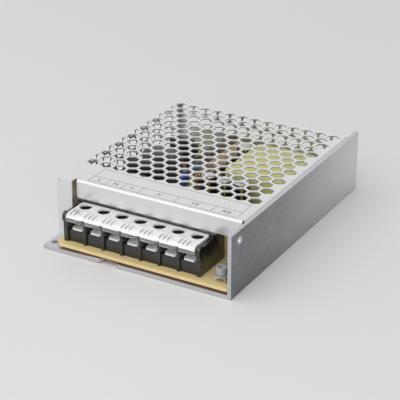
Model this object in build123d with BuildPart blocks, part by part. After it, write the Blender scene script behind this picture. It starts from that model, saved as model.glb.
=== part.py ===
"""Enclosed switching power supply: a bent aluminium chassis, a folded honeycomb cover, a circuit
board with its parts, and a seven-way barrier terminal block under a clear hinged cover.

Millimetres. +Z is up, -Y is the terminal end, and the origin is the middle of the underside.
"""

import math
import os

from build123d import *

# Flats that stand for rounds: on thin pieces, on pieces that repeat, and on single ones
small_flats = 10
repeat_flats = 16
round_flats = 24

# Case
case_length = 129.0
case_width = 97.0
case_height = 30.0
chassis_sheet = 1.8
chassis_bend = 0.5
corner_relief = 1.0

# Fixing holes and the open slot in the chassis
fixing_radius = 1.6
front_fixing = (3.3, 4.6)
rear_fixing_side = 3.3
wall_hole_radius = 2.0
wall_hole = (7.6, 25.5)
slot_from_side = 34.5
slot_mouth = 9.9
slot_width = 6.5
slot_depth = 8.0
slot_taper = 2.6

# Folded cover
cover_sheet = 0.6
cover_bend = 0.8
cover_setback = 12.9
panel_setback = 15.2
rear_shelf = 6.4
panel_drop = 8.7
flange_width = 7.8
flange_gap = 1.2
lip_drop = 3.6
seam_clearance = 0.1
flange_notch = (2.0, 3.6)
tab_width = 8.0
tab_clearance = 0.1

# Honeycomb
hex_pitch = 7.03
hex_row = 5.72
hex_web = 1.2
hex_rows = 15
hex_side_margin = 7.72
hex_front_margin = 35.8
hex_foot_margin = 3.6
hex_rear_drop = 4.25
hex_rear_rows = 2

# Circuit board, its insulating sheet and its bosses
board_thickness = 1.6
board_gap = 1.2
board_setback = 0.6
board_clearance = 0.5
board_front_side = 6.4
board_front_depth = 13.9
board_corner = 2.0
film_thickness = 0.25
boss_radius = 3.0
boss_inset = (5.4, 7.0)
boss_front = 20.0
screw_radius = 1.25
screw_clearance = 0.05
board_hole_radius = 1.6
board_head_radius = 2.6
board_head_height = 1.8

# Terminal block
ways = 7
way_pitch = 9.7
block_from_side = 44.6
divider = 1.4
end_wall = 2.2
block_front = 3.6
wall_recess = 1.0
block_depth = 21.6
floor_height = 5.8
divider_height = 13.1
divider_round = 2.5
end_height = 13.7
knob_height = 14.5
knob_length = (1.6, 3.2)
nose_height = 9.6
nose_reach = 0.9
nose_round = 2.4
ridge_setback = 13.5
ridge_height = 14.6
ear_height = 15.0
ear_length = 2.2

# Contacts, clamps and screws
contact_sheet = 0.8
contact_width = 6.8
contact_nose = 4.8
contact_front = 1.2
contact_tail = 2.0
tail_width = 2.0
fit = 0.1
screw_setback = 9.0
thread_radius = 1.55
thread_clearance = 0.05
washer_size = 6.4
washer_sheet = 1.0
washer_hole = 1.9
head_radius = 3.0
head_height = 2.4
shank_below = 2.4
screw_pocket = 3.4

# Clear terminal cover
lid_sheet = 1.2
lid_rest = 0.3
lid_overhang = 1.6
lid_round = 2.8
lid_rear = 13.1
lid_skirt = 3.6
lid_side_clearance = 0.15
lid_slot_clearance = 0.25
lid_slot_height = 2.0
access_radius = 3.0
pin_radius = 0.5
pin_length = 1.2
pin_clearance = 0.05

# Trimmer and lamp
trimmer_place = (7.8, 6.0)
trimmer_stand = 2.3
trimmer_plate = 1.0
trimmer_plate_radius = 3.1
rotor_radius = 2.5
rotor_height = 3.4
rotor_gap = 0.1
rotor_shaft = 1.2
rotor_cup_radius = 1.5
rotor_cup_depth = 0.7
lamp_place = (8.4, 12.2)
lamp_radius = 1.5
lamp_height = 3.6
lamp_stand = 1.8
lead = 0.6

# Transformer
coil_size = (31.0, 36.0, 17.4)
coil_place = (72.2, 84.5)
coil_corner = 1.2
coil_lift = 3.6
core_band = 17.0
core_rise = 12.0
core_fit = 0.1
pin_rail = 4.0

# Round capacitors: radius and height or length
bulk_radius = 9.0
bulk_length = 31.0
bulk_place = (37.5, 95.5)
can_radius = 4.0
can_height = 20.0
can_places = ((52.6, 59.4), (61.2, 59.0), (69.8, 59.6), (51.7, 97.0))

# Ring inductor, standing on edge
ring_radius = 8.0
ring_hole = 3.6
ring_thickness = 7.6
ring_place = (45.4, 72.4)
ring_lift = 0.5

# Disc parts: radius, thickness, place, and whether the disc faces along X
disc_lift = 2.4
discs = {
    "suppression_capacitor_1": (4.4, 3.2, (31.0, 74.0), True),
    "suppression_capacitor_2": (4.2, 3.2, (34.5, 61.5), False),
    "varistor": (5.0, 3.8, (44.0, 53.6), False),
    "inrush_thermistor": (5.0, 4.2, (25.5, 49.0), False),
}

# Line filter choke, film capacitor, fuse and bridge
choke_size = (19.0, 17.0, 17.0)
choke_place = (14.5, 63.5)
choke_core_width = 7.0
choke_flange = 1.6
film_size = (18.0, 9.0, 15.0)
film_place = (13.5, 83.0)
film_round = 0.8
fuse_place = (17.0, 36.0)
fuse_length = 20.0
fuse_radius = 2.6
fuse_cap = 5.2
fuse_lift = 0.9
bridge_size = (14.6, 3.6, 13.0)
bridge_place = (15.0, 101.0)
bridge_chamfer = 2.4
bridge_lift = 1.6

# Devices held flat against the wall
device_body = (10.2, 4.5, 15.4)
device_tab = 1.3
device_tab_rise = 4.6
device_lift = 4.0
device_hole = 1.8
pad_sheet = 0.4
pad_margin = 1.4
pad_bottom = 3.4
pad_clearance = 0.4
device_places = {"output_rectifier": 53.0, "switch_transistor": 107.5}
clip_sheet = 0.7
clip_width = 7.0
clip_reach = 4.6
clip_height = 15.0
clip_foot = 3.0

coupler_size = (4.6, 6.4, 3.4)
coupler_place = (66.0, 112.0)

# Levels and edges that follow from the values above
left = -case_width / 2
right = case_width / 2
front = -case_length / 2
rear = case_length / 2
wall_inner = right - chassis_sheet
base_top = chassis_sheet
board_bottom = base_top + board_gap
board_top = board_bottom + board_thickness
cover_front = front + cover_setback
panel_front = front + panel_setback
cover_rear = rear - rear_shelf
cover_right = wall_inner - seam_clearance
cover_under = case_height - cover_sheet
cover_outer_bend = cover_bend + cover_sheet
board_left = left + cover_sheet + board_clearance
board_right = wall_inner - board_clearance
board_rear = cover_rear - cover_sheet - board_clearance
block_width = ways * way_pitch - divider + 2 * end_wall
block_left = left + block_from_side - block_width / 2
block_right = block_left + block_width
way_places = [left + block_from_side + (k - (ways - 1) / 2) * way_pitch for k in range(ways)]
nose_front = front + block_front
floor_top = board_top + floor_height
ridge_front = nose_front + ridge_setback
block_rear = nose_front + block_depth
contact_top = floor_top + contact_sheet
screw_y = nose_front + screw_setback
washer_top = contact_top + washer_sheet
lid_under = board_top + divider_height + lid_rest
lid_top = lid_under + lid_sheet
lid_front = nose_front - lid_overhang
lid_back = nose_front + lid_rear
lid_left = block_left + end_wall + lid_side_clearance
lid_right = block_right - end_wall - lid_side_clearance
pin_y = lid_back - lid_sheet / 2
pin_z = (lid_under + lid_top) / 2
boss_places = [
    (left + boss_inset[0], front + boss_front),
    (right - boss_inset[1], front + boss_front),
    (left + boss_inset[0], board_rear - boss_inset[0]),
    (right - boss_inset[1], board_rear - boss_inset[0]),
]


def place(side, back):
    """A point given by its distances from the left side and the front edge of the case."""
    return left + side, front + back


def make_chassis():
    """Base plate and right wall, one sheet with one bend."""
    with BuildPart() as chassis:
        with BuildSketch(Plane.XZ.offset(-rear)):
            with BuildLine():
                Polyline(
                    (left, 0),
                    (right, 0),
                    (right, case_height),
                    (wall_inner, case_height),
                    (wall_inner, base_top),
                    (left, base_top),
                    close=True,
                )
            section = make_face()
            inner = section.vertices().sort_by_distance((wall_inner, base_top))[0]
            outer = section.vertices().sort_by_distance((right, 0))[0]
            fillet(inner, chassis_bend)
            fillet(outer, chassis_bend + chassis_sheet / 3)
        extrude(amount=case_length)

        # Open slot in the front edge, with a tapered mouth and a round end
        slot_x = left + slot_from_side
        with BuildSketch():
            with BuildLine():
                Polyline(
                    (slot_x - slot_mouth / 2, front),
                    (slot_x - slot_width / 2, front + slot_taper),
                    (slot_x - slot_width / 2, front + slot_depth),
                )
                RadiusArc(
                    (slot_x - slot_width / 2, front + slot_depth),
                    (slot_x + slot_width / 2, front + slot_depth),
                    slot_width / 2,
                )
                Polyline(
                    (slot_x + slot_width / 2, front + slot_depth),
                    (slot_x + slot_width / 2, front + slot_taper),
                    (slot_x + slot_mouth / 2, front),
                    (slot_x - slot_mouth / 2, front),
                )
            make_face()
        extrude(amount=base_top, mode=Mode.SUBTRACT)

        # Fixing holes in the base
        with BuildSketch():
            with Locations(
                place(*front_fixing),
                (left + rear_fixing_side, rear - rear_shelf / 2),
            ):
                Circle(fixing_radius)
        extrude(amount=base_top, mode=Mode.SUBTRACT)

        # Slots and edge notches for the cover's tabs
        with BuildSketch():
            for x, y, along_y in tab_places():
                with Locations((x, y)):
                    if along_y:
                        Rectangle(
                            cover_sheet + 2 * tab_clearance, tab_width + 2 * tab_clearance
                        )
                    else:
                        Rectangle(
                            tab_width + 2 * tab_clearance, cover_sheet + 2 * tab_clearance
                        )
        extrude(amount=base_top, mode=Mode.SUBTRACT)

        # Bosses pressed up from the base, tapped for the board's screws
        with BuildSketch(Plane.XY.offset(base_top)):
            with Locations(*boss_places):
                RegularPolygon(boss_radius, round_flats)
        extrude(amount=board_gap)
        with BuildSketch():
            with Locations(*boss_places):
                RegularPolygon(screw_radius, small_flats, major_radius=False)
        extrude(amount=board_bottom, mode=Mode.SUBTRACT)

        # Hole in the wall, and the cut corner at its rear foot
        with BuildSketch(Plane.YZ.offset(wall_inner)):
            with Locations((front + wall_hole[0], wall_hole[1])):
                Circle(wall_hole_radius)
        extrude(amount=chassis_sheet, mode=Mode.SUBTRACT)
        with BuildSketch(Plane.YZ.offset(wall_inner - chassis_bend)):
            with BuildLine():
                Polyline((rear, 0), (rear - corner_relief, 0), (rear, corner_relief), close=True)
            make_face()
        extrude(amount=chassis_sheet + chassis_bend, mode=Mode.SUBTRACT)
    chassis.part.label = "base_chassis"
    export_step(chassis.part, "parts/base_chassis.step")


def tab_places():
    """Middles of the cover's tabs, each as x, y and whether the tab runs along Y."""
    side_x = left + cover_sheet / 2
    rear_y = cover_rear - cover_sheet / 2
    span = cover_rear - cover_front
    sides = [(side_x, cover_front + span * share, True) for share in (0.2, 0.5, 0.8)]
    rears = [(left + case_width * share, rear_y, False) for share in (0.25, 0.75)]
    return sides + rears


def hex_cell():
    """One hole of the honeycomb: the cell's outline drawn in by half a web."""
    with BuildSketch() as cell:
        with BuildLine():
            Polyline(
                (0, 2 * hex_row / 3),
                (-hex_pitch / 2, hex_row / 3),
                (-hex_pitch / 2, -hex_row / 3),
                (0, -2 * hex_row / 3),
                (hex_pitch / 2, -hex_row / 3),
                (hex_pitch / 2, hex_row / 3),
                close=True,
            )
        make_face()
        offset(amount=-hex_web / 2, kind=Kind.INTERSECTION)
    return cell.sketch


def hex_places():
    """Hole centres on the top, over the left bend and down the left wall."""
    half = (hex_pitch - hex_web) / 2
    flat_edge = left + cover_outer_bend
    arc = math.pi / 2 * (cover_bend + cover_sheet / 2)
    top, bend, side = [], [], []
    for row in range(hex_rows):
        y = front + hex_front_margin + row * hex_row
        x = right - hex_side_margin - (row % 2) * hex_pitch / 2
        while True:
            z = case_height - cover_outer_bend + arc - (flat_edge - x)
            if x - half >= flat_edge:
                top.append((x, y))
            elif z + half > case_height - cover_outer_bend:
                bend.append((x, y, z))
            elif z - half >= base_top + hex_foot_margin:
                side.append((y, z))
            else:
                break
            x -= hex_pitch
    return top, bend, side


def make_cover():
    """Top, left wall, rear wall, dropped front panel, front flange and right lip: one folded sheet."""
    cell = hex_cell()
    top_holes, bend_holes, side_holes = hex_places()
    with BuildPart() as cover:
        # Left wall, top and right lip, bent about lines along Y
        with BuildSketch(Plane.XZ.offset(-(cover_rear - cover_outer_bend))):
            with BuildLine():
                Polyline(
                    (left, base_top),
                    (left, case_height),
                    (cover_right, case_height),
                    (cover_right, case_height - lip_drop),
                    (cover_right - cover_sheet, case_height - lip_drop),
                    (cover_right - cover_sheet, cover_under),
                    (left + cover_sheet, cover_under),
                    (left + cover_sheet, base_top),
                    close=True,
                )
            section = make_face()
            corners = section.vertices()
            outside = [
                corners.sort_by_distance((x, case_height))[0] for x in (left, cover_right)
            ]
            inside = [
                corners.sort_by_distance((x, cover_under))[0]
                for x in (left + cover_sheet, cover_right - cover_sheet)
            ]
            fillet(outside, cover_outer_bend)
            fillet(inside, cover_bend)
        extrude(amount=cover_rear - cover_outer_bend - cover_front)

        # The front edge steps back to the panel, with a relief slot beside the flange
        with BuildSketch(Plane.XY.offset(case_height - lip_drop)):
            step_left = left + flange_width
            with Locations((step_left, cover_front)):
                Rectangle(
                    case_width,
                    panel_setback - cover_setback + cover_outer_bend,
                    align=(Align.MIN, Align.MIN),
                )
        extrude(amount=lip_drop, mode=Mode.SUBTRACT)

        # Front panel, a strip of the top, and the rear wall, bent about lines along X
        with BuildSketch(Plane.YZ.offset(left + flange_width + flange_gap)):
            with BuildLine():
                Polyline(
                    (panel_front, case_height - panel_drop),
                    (panel_front, case_height),
                    (cover_rear, case_height),
                    (cover_rear, base_top),
                    (cover_rear - cover_sheet, base_top),
                    (cover_rear - cover_sheet, cover_under),
                    (panel_front + cover_sheet, cover_under),
                    (panel_front + cover_sheet, case_height - panel_drop),
                    close=True,
                )
            section = make_face()
            corners = section.vertices()
            outside = [
                corners.sort_by_distance((y, case_height))[0] for y in (panel_front, cover_rear)
            ]
            inside = [
                corners.sort_by_distance((y, cover_under))[0]
                for y in (panel_front + cover_sheet, cover_rear - cover_sheet)
            ]
            fillet(outside, cover_outer_bend)
            fillet(inside, cover_bend)
        extrude(amount=cover_right - cover_outer_bend - (left + flange_width + flange_gap))

        # The rear wall's left end, closing on the left wall's rear edge
        with BuildSketch(Plane.XZ.offset(-cover_rear)):
            with BuildLine():
                Polyline(
                    (left, base_top),
                    (left, case_height - cover_outer_bend),
                    (left + cover_outer_bend, case_height - cover_outer_bend),
                    (left + flange_width + flange_gap, case_height - cover_outer_bend),
                    (left + flange_width + flange_gap, base_top),
                    close=True,
                )
            make_face()
        extrude(amount=cover_sheet)
        with BuildSketch(Plane.YZ.offset(left)):
            with Locations((cover_rear - cover_outer_bend, base_top)):
                Rectangle(
                    cover_outer_bend,
                    case_height - cover_outer_bend - base_top,
                    align=(Align.MIN, Align.MIN),
                )
        extrude(amount=cover_sheet)
        with BuildSketch(Plane.YZ.offset(left + cover_outer_bend)):
            with BuildLine():
                Line(
                    (cover_rear - cover_outer_bend, case_height),
                    (cover_rear - cover_outer_bend, cover_under),
                )
                RadiusArc(
                    (cover_rear - cover_outer_bend, cover_under),
                    (cover_rear - cover_sheet, case_height - cover_outer_bend),
                    cover_bend,
                )
                Line(
                    (cover_rear - cover_sheet, case_height - cover_outer_bend),
                    (cover_rear, case_height - cover_outer_bend),
                )
                RadiusArc(
                    (cover_rear, case_height - cover_outer_bend),
                    (cover_rear - cover_outer_bend, case_height),
                    -cover_outer_bend,
                )
            make_face()
        extrude(amount=flange_width + flange_gap - cover_outer_bend)

        # Right ends of the front panel and the rear wall, below the bend of the lip
        corner_x = cover_right - cover_outer_bend
        for y, foot in (
            (panel_front, case_height - panel_drop),
            (cover_rear - cover_sheet, base_top + chassis_bend),
        ):
            with BuildSketch(Plane.XZ.offset(-(y + cover_sheet))):
                with Locations((corner_x, foot)):
                    Rectangle(
                        cover_outer_bend,
                        case_height - cover_outer_bend - foot,
                        align=(Align.MIN, Align.MIN),
                    )
            extrude(amount=cover_sheet)

        # Flange bent in from the left wall's front edge, notched over the board
        with BuildSketch(Plane.XZ.offset(-(cover_front + cover_sheet))):
            with BuildLine():
                Polyline(
                    (left, base_top),
                    (left, case_height - cover_outer_bend),
                    (left + cover_outer_bend, cover_under),
                    (left + flange_width, cover_under),
                    (left + flange_width, base_top + flange_notch[1]),
                    (left + flange_width - flange_notch[0], base_top + flange_notch[1]),
                    (left + flange_width - flange_notch[0], base_top),
                    close=True,
                )
            make_face()
        extrude(amount=cover_sheet)

        # Tabs that drop through the base
        with BuildSketch(Plane.XY.offset(base_top)):
            for x, y, along_y in tab_places():
                with Locations((x, y)):
                    if along_y:
                        Rectangle(cover_sheet, tab_width)
                    else:
                        Rectangle(tab_width, cover_sheet)
        extrude(amount=-(base_top - tab_clearance))

        # Honeycomb
        with BuildSketch(Plane.XY.offset(case_height - cover_outer_bend)):
            with Locations(*[(x, y) for x, y in top_holes]):
                add(cell)
            if bend_holes:
                with Locations(*[(x, y) for x, y, z in bend_holes]):
                    add(cell)
        extrude(amount=cover_outer_bend, mode=Mode.SUBTRACT)
        upright = cell.rotate(Axis.Z, 90)
        with BuildSketch(Plane.YZ.offset(left)):
            with Locations(*side_holes):
                add(upright)
        extrude(amount=cover_sheet, mode=Mode.SUBTRACT)
        if bend_holes:
            with BuildSketch(Plane.YZ.offset(left)):
                with Locations(*[(y, z) for x, y, z in bend_holes]):
                    add(upright)
            extrude(amount=cover_outer_bend, mode=Mode.SUBTRACT)
        with BuildSketch(Plane.XZ.offset(-cover_rear)):
            for row in range(hex_rear_rows):
                start = right - hex_side_margin - (row % 2) * hex_pitch / 2
                count = int((start - left - hex_pitch / 2) / hex_pitch) + 1
                z = case_height - hex_rear_drop - row * hex_row
                with Locations(*[(start - k * hex_pitch, z) for k in range(count)]):
                    add(cell)
        extrude(amount=cover_sheet, mode=Mode.SUBTRACT)
    cover.part.label = "top_cover"
    export_step(cover.part, "parts/top_cover.step")


def board_outline():
    """The board's outline: narrower at the front, where it passes the cover's flange."""
    Polyline(
        (left + board_front_side, front + board_setback + board_corner),
        (left + board_front_side + board_corner, front + board_setback),
        (board_right, front + board_setback),
        (board_right, board_rear),
        (board_left, board_rear),
        (board_left, front + board_front_depth),
        (left + board_front_side, front + board_front_depth),
        close=True,
    )


def make_board():
    """Circuit board with its screw holes and the slots for the terminal tails."""
    with BuildPart() as board:
        with BuildSketch(Plane.XY.offset(board_bottom)):
            with BuildLine():
                board_outline()
            make_face()
            with Locations(*boss_places):
                RegularPolygon(
                    board_hole_radius, small_flats, major_radius=False, mode=Mode.SUBTRACT
                )
            with Locations(*[(x, tail_middle()) for x in way_places]):
                Rectangle(tail_width + 2 * fit, contact_sheet + 2 * fit, mode=Mode.SUBTRACT)
        extrude(amount=board_thickness)
    board.part.label = "circuit_board"
    export_step(board.part, "parts/circuit_board.step")


def make_film():
    """Insulating film that lies on the base under the board, cut away round the bosses."""
    film_front = front + cover_setback + cover_sheet + board_clearance
    with BuildPart() as film:
        with BuildSketch(Plane.XY.offset(base_top)):
            with Locations((board_left, film_front)):
                Rectangle(
                    board_right - board_left, board_rear - film_front, align=(Align.MIN, Align.MIN)
                )
            with Locations(*boss_places):
                Rectangle(
                    2 * boss_radius + 2 * board_clearance,
                    2 * boss_radius + 2 * board_clearance,
                    mode=Mode.SUBTRACT,
                )
        extrude(amount=film_thickness)
    film.part.label = "insulating_film"
    export_step(film.part, "parts/insulating_film.step")


def make_board_screws():
    """Screws that hold the board on the bosses."""
    with BuildPart() as screws:
        with BuildSketch(Plane.XY.offset(board_top)):
            with Locations(*boss_places):
                RegularPolygon(board_head_radius, repeat_flats)
        extrude(amount=board_head_height)
        with BuildSketch(Plane.XY.offset(board_top)):
            with Locations(*boss_places):
                RegularPolygon(screw_radius - screw_clearance, small_flats)
        extrude(amount=-(board_top - base_top / 2))
    screws.part.label = "board_screws"
    export_step(screws.part, "parts/board_screws.step")


def tail_middle():
    """Y of the middle of a contact's tail, which drops through the block's rear ridge."""
    return ridge_front + contact_tail - contact_sheet / 2


def make_block():
    """Moulded terminal housing: floor, dividers, end walls with hinge ears, and rear ridge."""
    with BuildPart() as block:
        # Floor and rear ridge
        with BuildSketch(Plane.YZ.offset(block_left)):
            with BuildLine():
                Polyline(
                    (nose_front + wall_recess, board_top),
                    (block_rear, board_top),
                    (block_rear, board_top + ridge_height),
                    (ridge_front, board_top + ridge_height),
                    (ridge_front, floor_top),
                    (nose_front + wall_recess, floor_top),
                    close=True,
                )
            make_face()
        extrude(amount=block_width)

        # Dividers between the ways
        for x in way_places[1:]:
            with BuildSketch(Plane.YZ.offset(x - way_pitch / 2 - divider / 2)):
                with Locations((nose_front, board_top)):
                    Rectangle(
                        ridge_setback + divider, divider_height, align=(Align.MIN, Align.MIN)
                    )
                shoulder = (nose_front, board_top + divider_height)
                fillet(vertices().sort_by_distance(shoulder)[0], divider_round)
            extrude(amount=divider)

        # End walls, each with a rounded nose and an ear for the cover's pin
        for x in (block_left, block_right - end_wall):
            with BuildSketch(Plane.YZ.offset(x)):
                nose_tip = nose_front - nose_reach
                with BuildLine():
                    Polyline(
                        (nose_front, board_top),
                        (nose_front, board_top + nose_height),
                        (nose_tip, board_top + nose_height + nose_reach),
                        (nose_tip, board_top + knob_height),
                        (nose_front + knob_length[0], board_top + knob_height),
                        (nose_front + knob_length[1], board_top + end_height),
                        (ridge_front - ear_length, board_top + end_height),
                        (ridge_front - ear_length, board_top + ear_height),
                        (ridge_front, board_top + ear_height),
                        (ridge_front, board_top + ridge_height),
                        (block_rear, board_top + ridge_height),
                        (block_rear, board_top),
                        close=True,
                    )
                make_face()
                corner = (nose_tip, board_top + knob_height)
                fillet(vertices().sort_by_distance(corner)[0], nose_round)
            extrude(amount=end_wall)

        # Holes for the cover's pins
        with BuildSketch(Plane.YZ.offset(block_left)):
            with Locations((pin_y, pin_z)):
                RegularPolygon(pin_radius + pin_clearance, small_flats, major_radius=False)
        extrude(amount=block_width, mode=Mode.SUBTRACT)

        # Slots for the contacts, wells for their tails and pockets under the screws
        with BuildSketch(Plane.XY.offset(floor_top)):
            with Locations(*[(x, ridge_front) for x in way_places]):
                Rectangle(
                    contact_width + 2 * fit, contact_tail + fit, align=(Align.CENTER, Align.MIN)
                )
        extrude(amount=contact_sheet + fit, mode=Mode.SUBTRACT)
        with BuildSketch(Plane.XY.offset(board_top)):
            with Locations(*[(x, tail_middle()) for x in way_places]):
                Rectangle(tail_width + 2 * fit, contact_sheet + 2 * fit)
        extrude(amount=floor_height, mode=Mode.SUBTRACT)
        with BuildSketch(Plane.XY.offset(floor_top)):
            with Locations(*[(x, screw_y) for x in way_places]):
                Rectangle(2 * thread_radius + 1, 2 * thread_radius + 1)
        extrude(amount=-screw_pocket, mode=Mode.SUBTRACT)
    block.part.label = "terminal_block"
    export_step(block.part, "parts/terminal_block.step")


def make_contacts():
    """Tinned contact of each way: a tapped plate with a narrowed nose and a tail to the board."""
    for number, x in enumerate(way_places, 1):
        with BuildPart() as contact:
            nose_y = nose_front + contact_front
            shoulder_y = nose_y + contact_width - contact_nose
            tail_y = ridge_front + contact_tail
            with BuildSketch(Plane.XY.offset(floor_top)):
                with BuildLine():
                    Polyline(
                        (x - contact_nose / 2, nose_y),
                        (x + contact_nose / 2, nose_y),
                        (x + contact_width / 2, shoulder_y),
                        (x + contact_width / 2, tail_y),
                        (x - contact_width / 2, tail_y),
                        (x - contact_width / 2, shoulder_y),
                        close=True,
                    )
                make_face()
                with Locations((x, screw_y)):
                    RegularPolygon(
                        thread_radius + thread_clearance,
                        small_flats,
                        major_radius=False,
                        mode=Mode.SUBTRACT,
                    )
            extrude(amount=contact_sheet)
            with BuildSketch(Plane.XY.offset(floor_top)):
                with Locations((x, tail_middle())):
                    Rectangle(tail_width, contact_sheet)
            extrude(amount=-(floor_top - board_bottom + board_gap / 2))
        contact.part.label = f"terminal_contact_{number}"
        export_step(contact.part, f"parts/terminal_contact_{number}.step")


def make_clamps():
    """Square pressure washer of each way, free on its screw."""
    for number, x in enumerate(way_places, 1):
        with BuildPart() as clamp:
            with BuildSketch(Plane.XY.offset(contact_top)):
                with Locations((x, screw_y)):
                    Rectangle(washer_size, washer_size)
                    RegularPolygon(
                        washer_hole, small_flats, major_radius=False, mode=Mode.SUBTRACT
                    )
            extrude(amount=washer_sheet)
            lower = clamp.edges().filter_by(Axis.X).group_by(Axis.Z)[0]
            chamfer(lower.sort_by(Axis.Y)[0], washer_sheet / 3)
        clamp.part.label = f"clamp_washer_{number}"
        export_step(clamp.part, f"parts/clamp_washer_{number}.step")


def make_terminal_screws():
    """Pan-headed screw of each way."""
    for number, x in enumerate(way_places, 1):
        with BuildPart() as screw:
            with BuildSketch(Plane.XY.offset(washer_top)):
                with Locations((x, screw_y)):
                    RegularPolygon(head_radius, repeat_flats)
            extrude(amount=head_height)
            with BuildSketch(Plane.XY.offset(washer_top)):
                with Locations((x, screw_y)):
                    RegularPolygon(thread_radius, small_flats)
            extrude(amount=-(washer_top - floor_top + shank_below))
        screw.part.label = f"terminal_screw_{number}"
        export_step(screw.part, f"parts/terminal_screw_{number}.step")


def make_lid():
    """Clear cover over the terminals: a plate with a rounded front, a slotted skirt and two pins."""
    with BuildPart() as lid:
        with BuildSketch(Plane.YZ.offset(lid_left)):
            with BuildLine():
                Polyline(
                    (pin_y, lid_under),
                    (lid_front + lid_sheet, lid_under),
                    (lid_front + lid_sheet, lid_top - lid_skirt),
                    (lid_front, lid_top - lid_skirt),
                    (lid_front, lid_top),
                    (pin_y, lid_top),
                )
                # Rear edge rolled round the pins' axis
                RadiusArc((pin_y, lid_top), (pin_y, lid_under), lid_sheet / 2)
            section = make_face()
            corners = section.vertices()
            fillet(corners.sort_by_distance((lid_front, lid_top))[0], lid_round)
            inner = (lid_front + lid_sheet, lid_under)
            fillet(corners.sort_by_distance(inner)[0], lid_round - lid_sheet)
        extrude(amount=lid_right - lid_left)

        # A slot in the skirt at each divider
        slot = divider + 2 * lid_slot_clearance
        with BuildSketch(Plane.XZ.offset(-(lid_front + lid_round))):
            with Locations(*[(x - way_pitch / 2, lid_top - lid_skirt) for x in way_places[1:]]):
                Rectangle(slot, lid_slot_height, align=(Align.CENTER, Align.MIN))
        extrude(amount=lid_round, mode=Mode.SUBTRACT)

        # Screwdriver holes
        with BuildSketch(Plane.XY.offset(lid_under)):
            with Locations(*[(x, screw_y) for x in way_places]):
                RegularPolygon(access_radius, round_flats)
        extrude(amount=lid_sheet, mode=Mode.SUBTRACT)

        # Hinge pins
        for x, direction in ((lid_left, -1), (lid_right, 1)):
            with BuildSketch(Plane.YZ.offset(x)):
                with Locations((pin_y, pin_z)):
                    RegularPolygon(pin_radius, small_flats)
            extrude(amount=direction * pin_length)
    lid.part.label = "terminal_cover"
    export_step(lid.part, "parts/terminal_cover.step")


def make_trimmer():
    """Output voltage trimmer: a plate on three legs, and a rotor that turns in it."""
    x, y = place(case_width - trimmer_place[0], trimmer_place[1])
    plate_bottom = board_top + trimmer_stand
    plate_top = plate_bottom + trimmer_plate
    with BuildPart() as body:
        with BuildSketch(Plane.XY.offset(plate_bottom)):
            with Locations((x, y)):
                RegularPolygon(trimmer_plate_radius, round_flats)
                RegularPolygon(
                    rotor_shaft + pin_clearance,
                    small_flats,
                    major_radius=False,
                    mode=Mode.SUBTRACT,
                )
        extrude(amount=trimmer_plate)
        with BuildSketch(Plane.XY.offset(board_top)):
            with Locations((x, y)):
                with PolarLocations(trimmer_plate_radius - lead, 3, start_angle=90):
                    Rectangle(lead, 2 * lead)
        extrude(amount=trimmer_stand)
    body.part.label = "trimmer_body"
    export_step(body.part, "parts/trimmer_body.step")

    rotor_bottom = plate_top + rotor_gap
    with BuildPart() as rotor:
        with BuildSketch(Plane.XY.offset(rotor_bottom)):
            with Locations((x, y)):
                RegularPolygon(rotor_radius, round_flats)
        extrude(amount=rotor_height)
        with BuildSketch(Plane.XY.offset(rotor_bottom)):
            with Locations((x, y)):
                RegularPolygon(rotor_shaft, small_flats)
        extrude(amount=-(rotor_gap + trimmer_plate))
        with BuildSketch(Plane.XY.offset(rotor_bottom + rotor_height)):
            with Locations((x, y)):
                RegularPolygon(rotor_cup_radius, round_flats)
        extrude(amount=-rotor_cup_depth, mode=Mode.SUBTRACT)
    rotor.part.label = "trimmer_rotor"
    export_step(rotor.part, "parts/trimmer_rotor.step")


def make_lamp():
    """Indicator lamp on two leads."""
    x, y = place(case_width - lamp_place[0], lamp_place[1])
    base = board_top + lamp_stand
    with BuildPart() as lamp:
        with BuildSketch(Plane.XY.offset(base)):
            with Locations((x, y)):
                RegularPolygon(lamp_radius, round_flats)
        extrude(amount=lamp_height - lamp_radius / 2)
        # Tapered crown for the domed top
        extrude(lamp.faces().sort_by(Axis.Z)[-1], amount=lamp_radius / 2, taper=35)
        with BuildSketch(Plane.XY.offset(board_top)):
            with Locations((x - lamp_radius / 2, y), (x + lamp_radius / 2, y)):
                Rectangle(lead, lead)
        extrude(amount=lamp_stand)
    lamp.part.label = "power_lamp"
    export_step(lamp.part, "parts/power_lamp.step")


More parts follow.
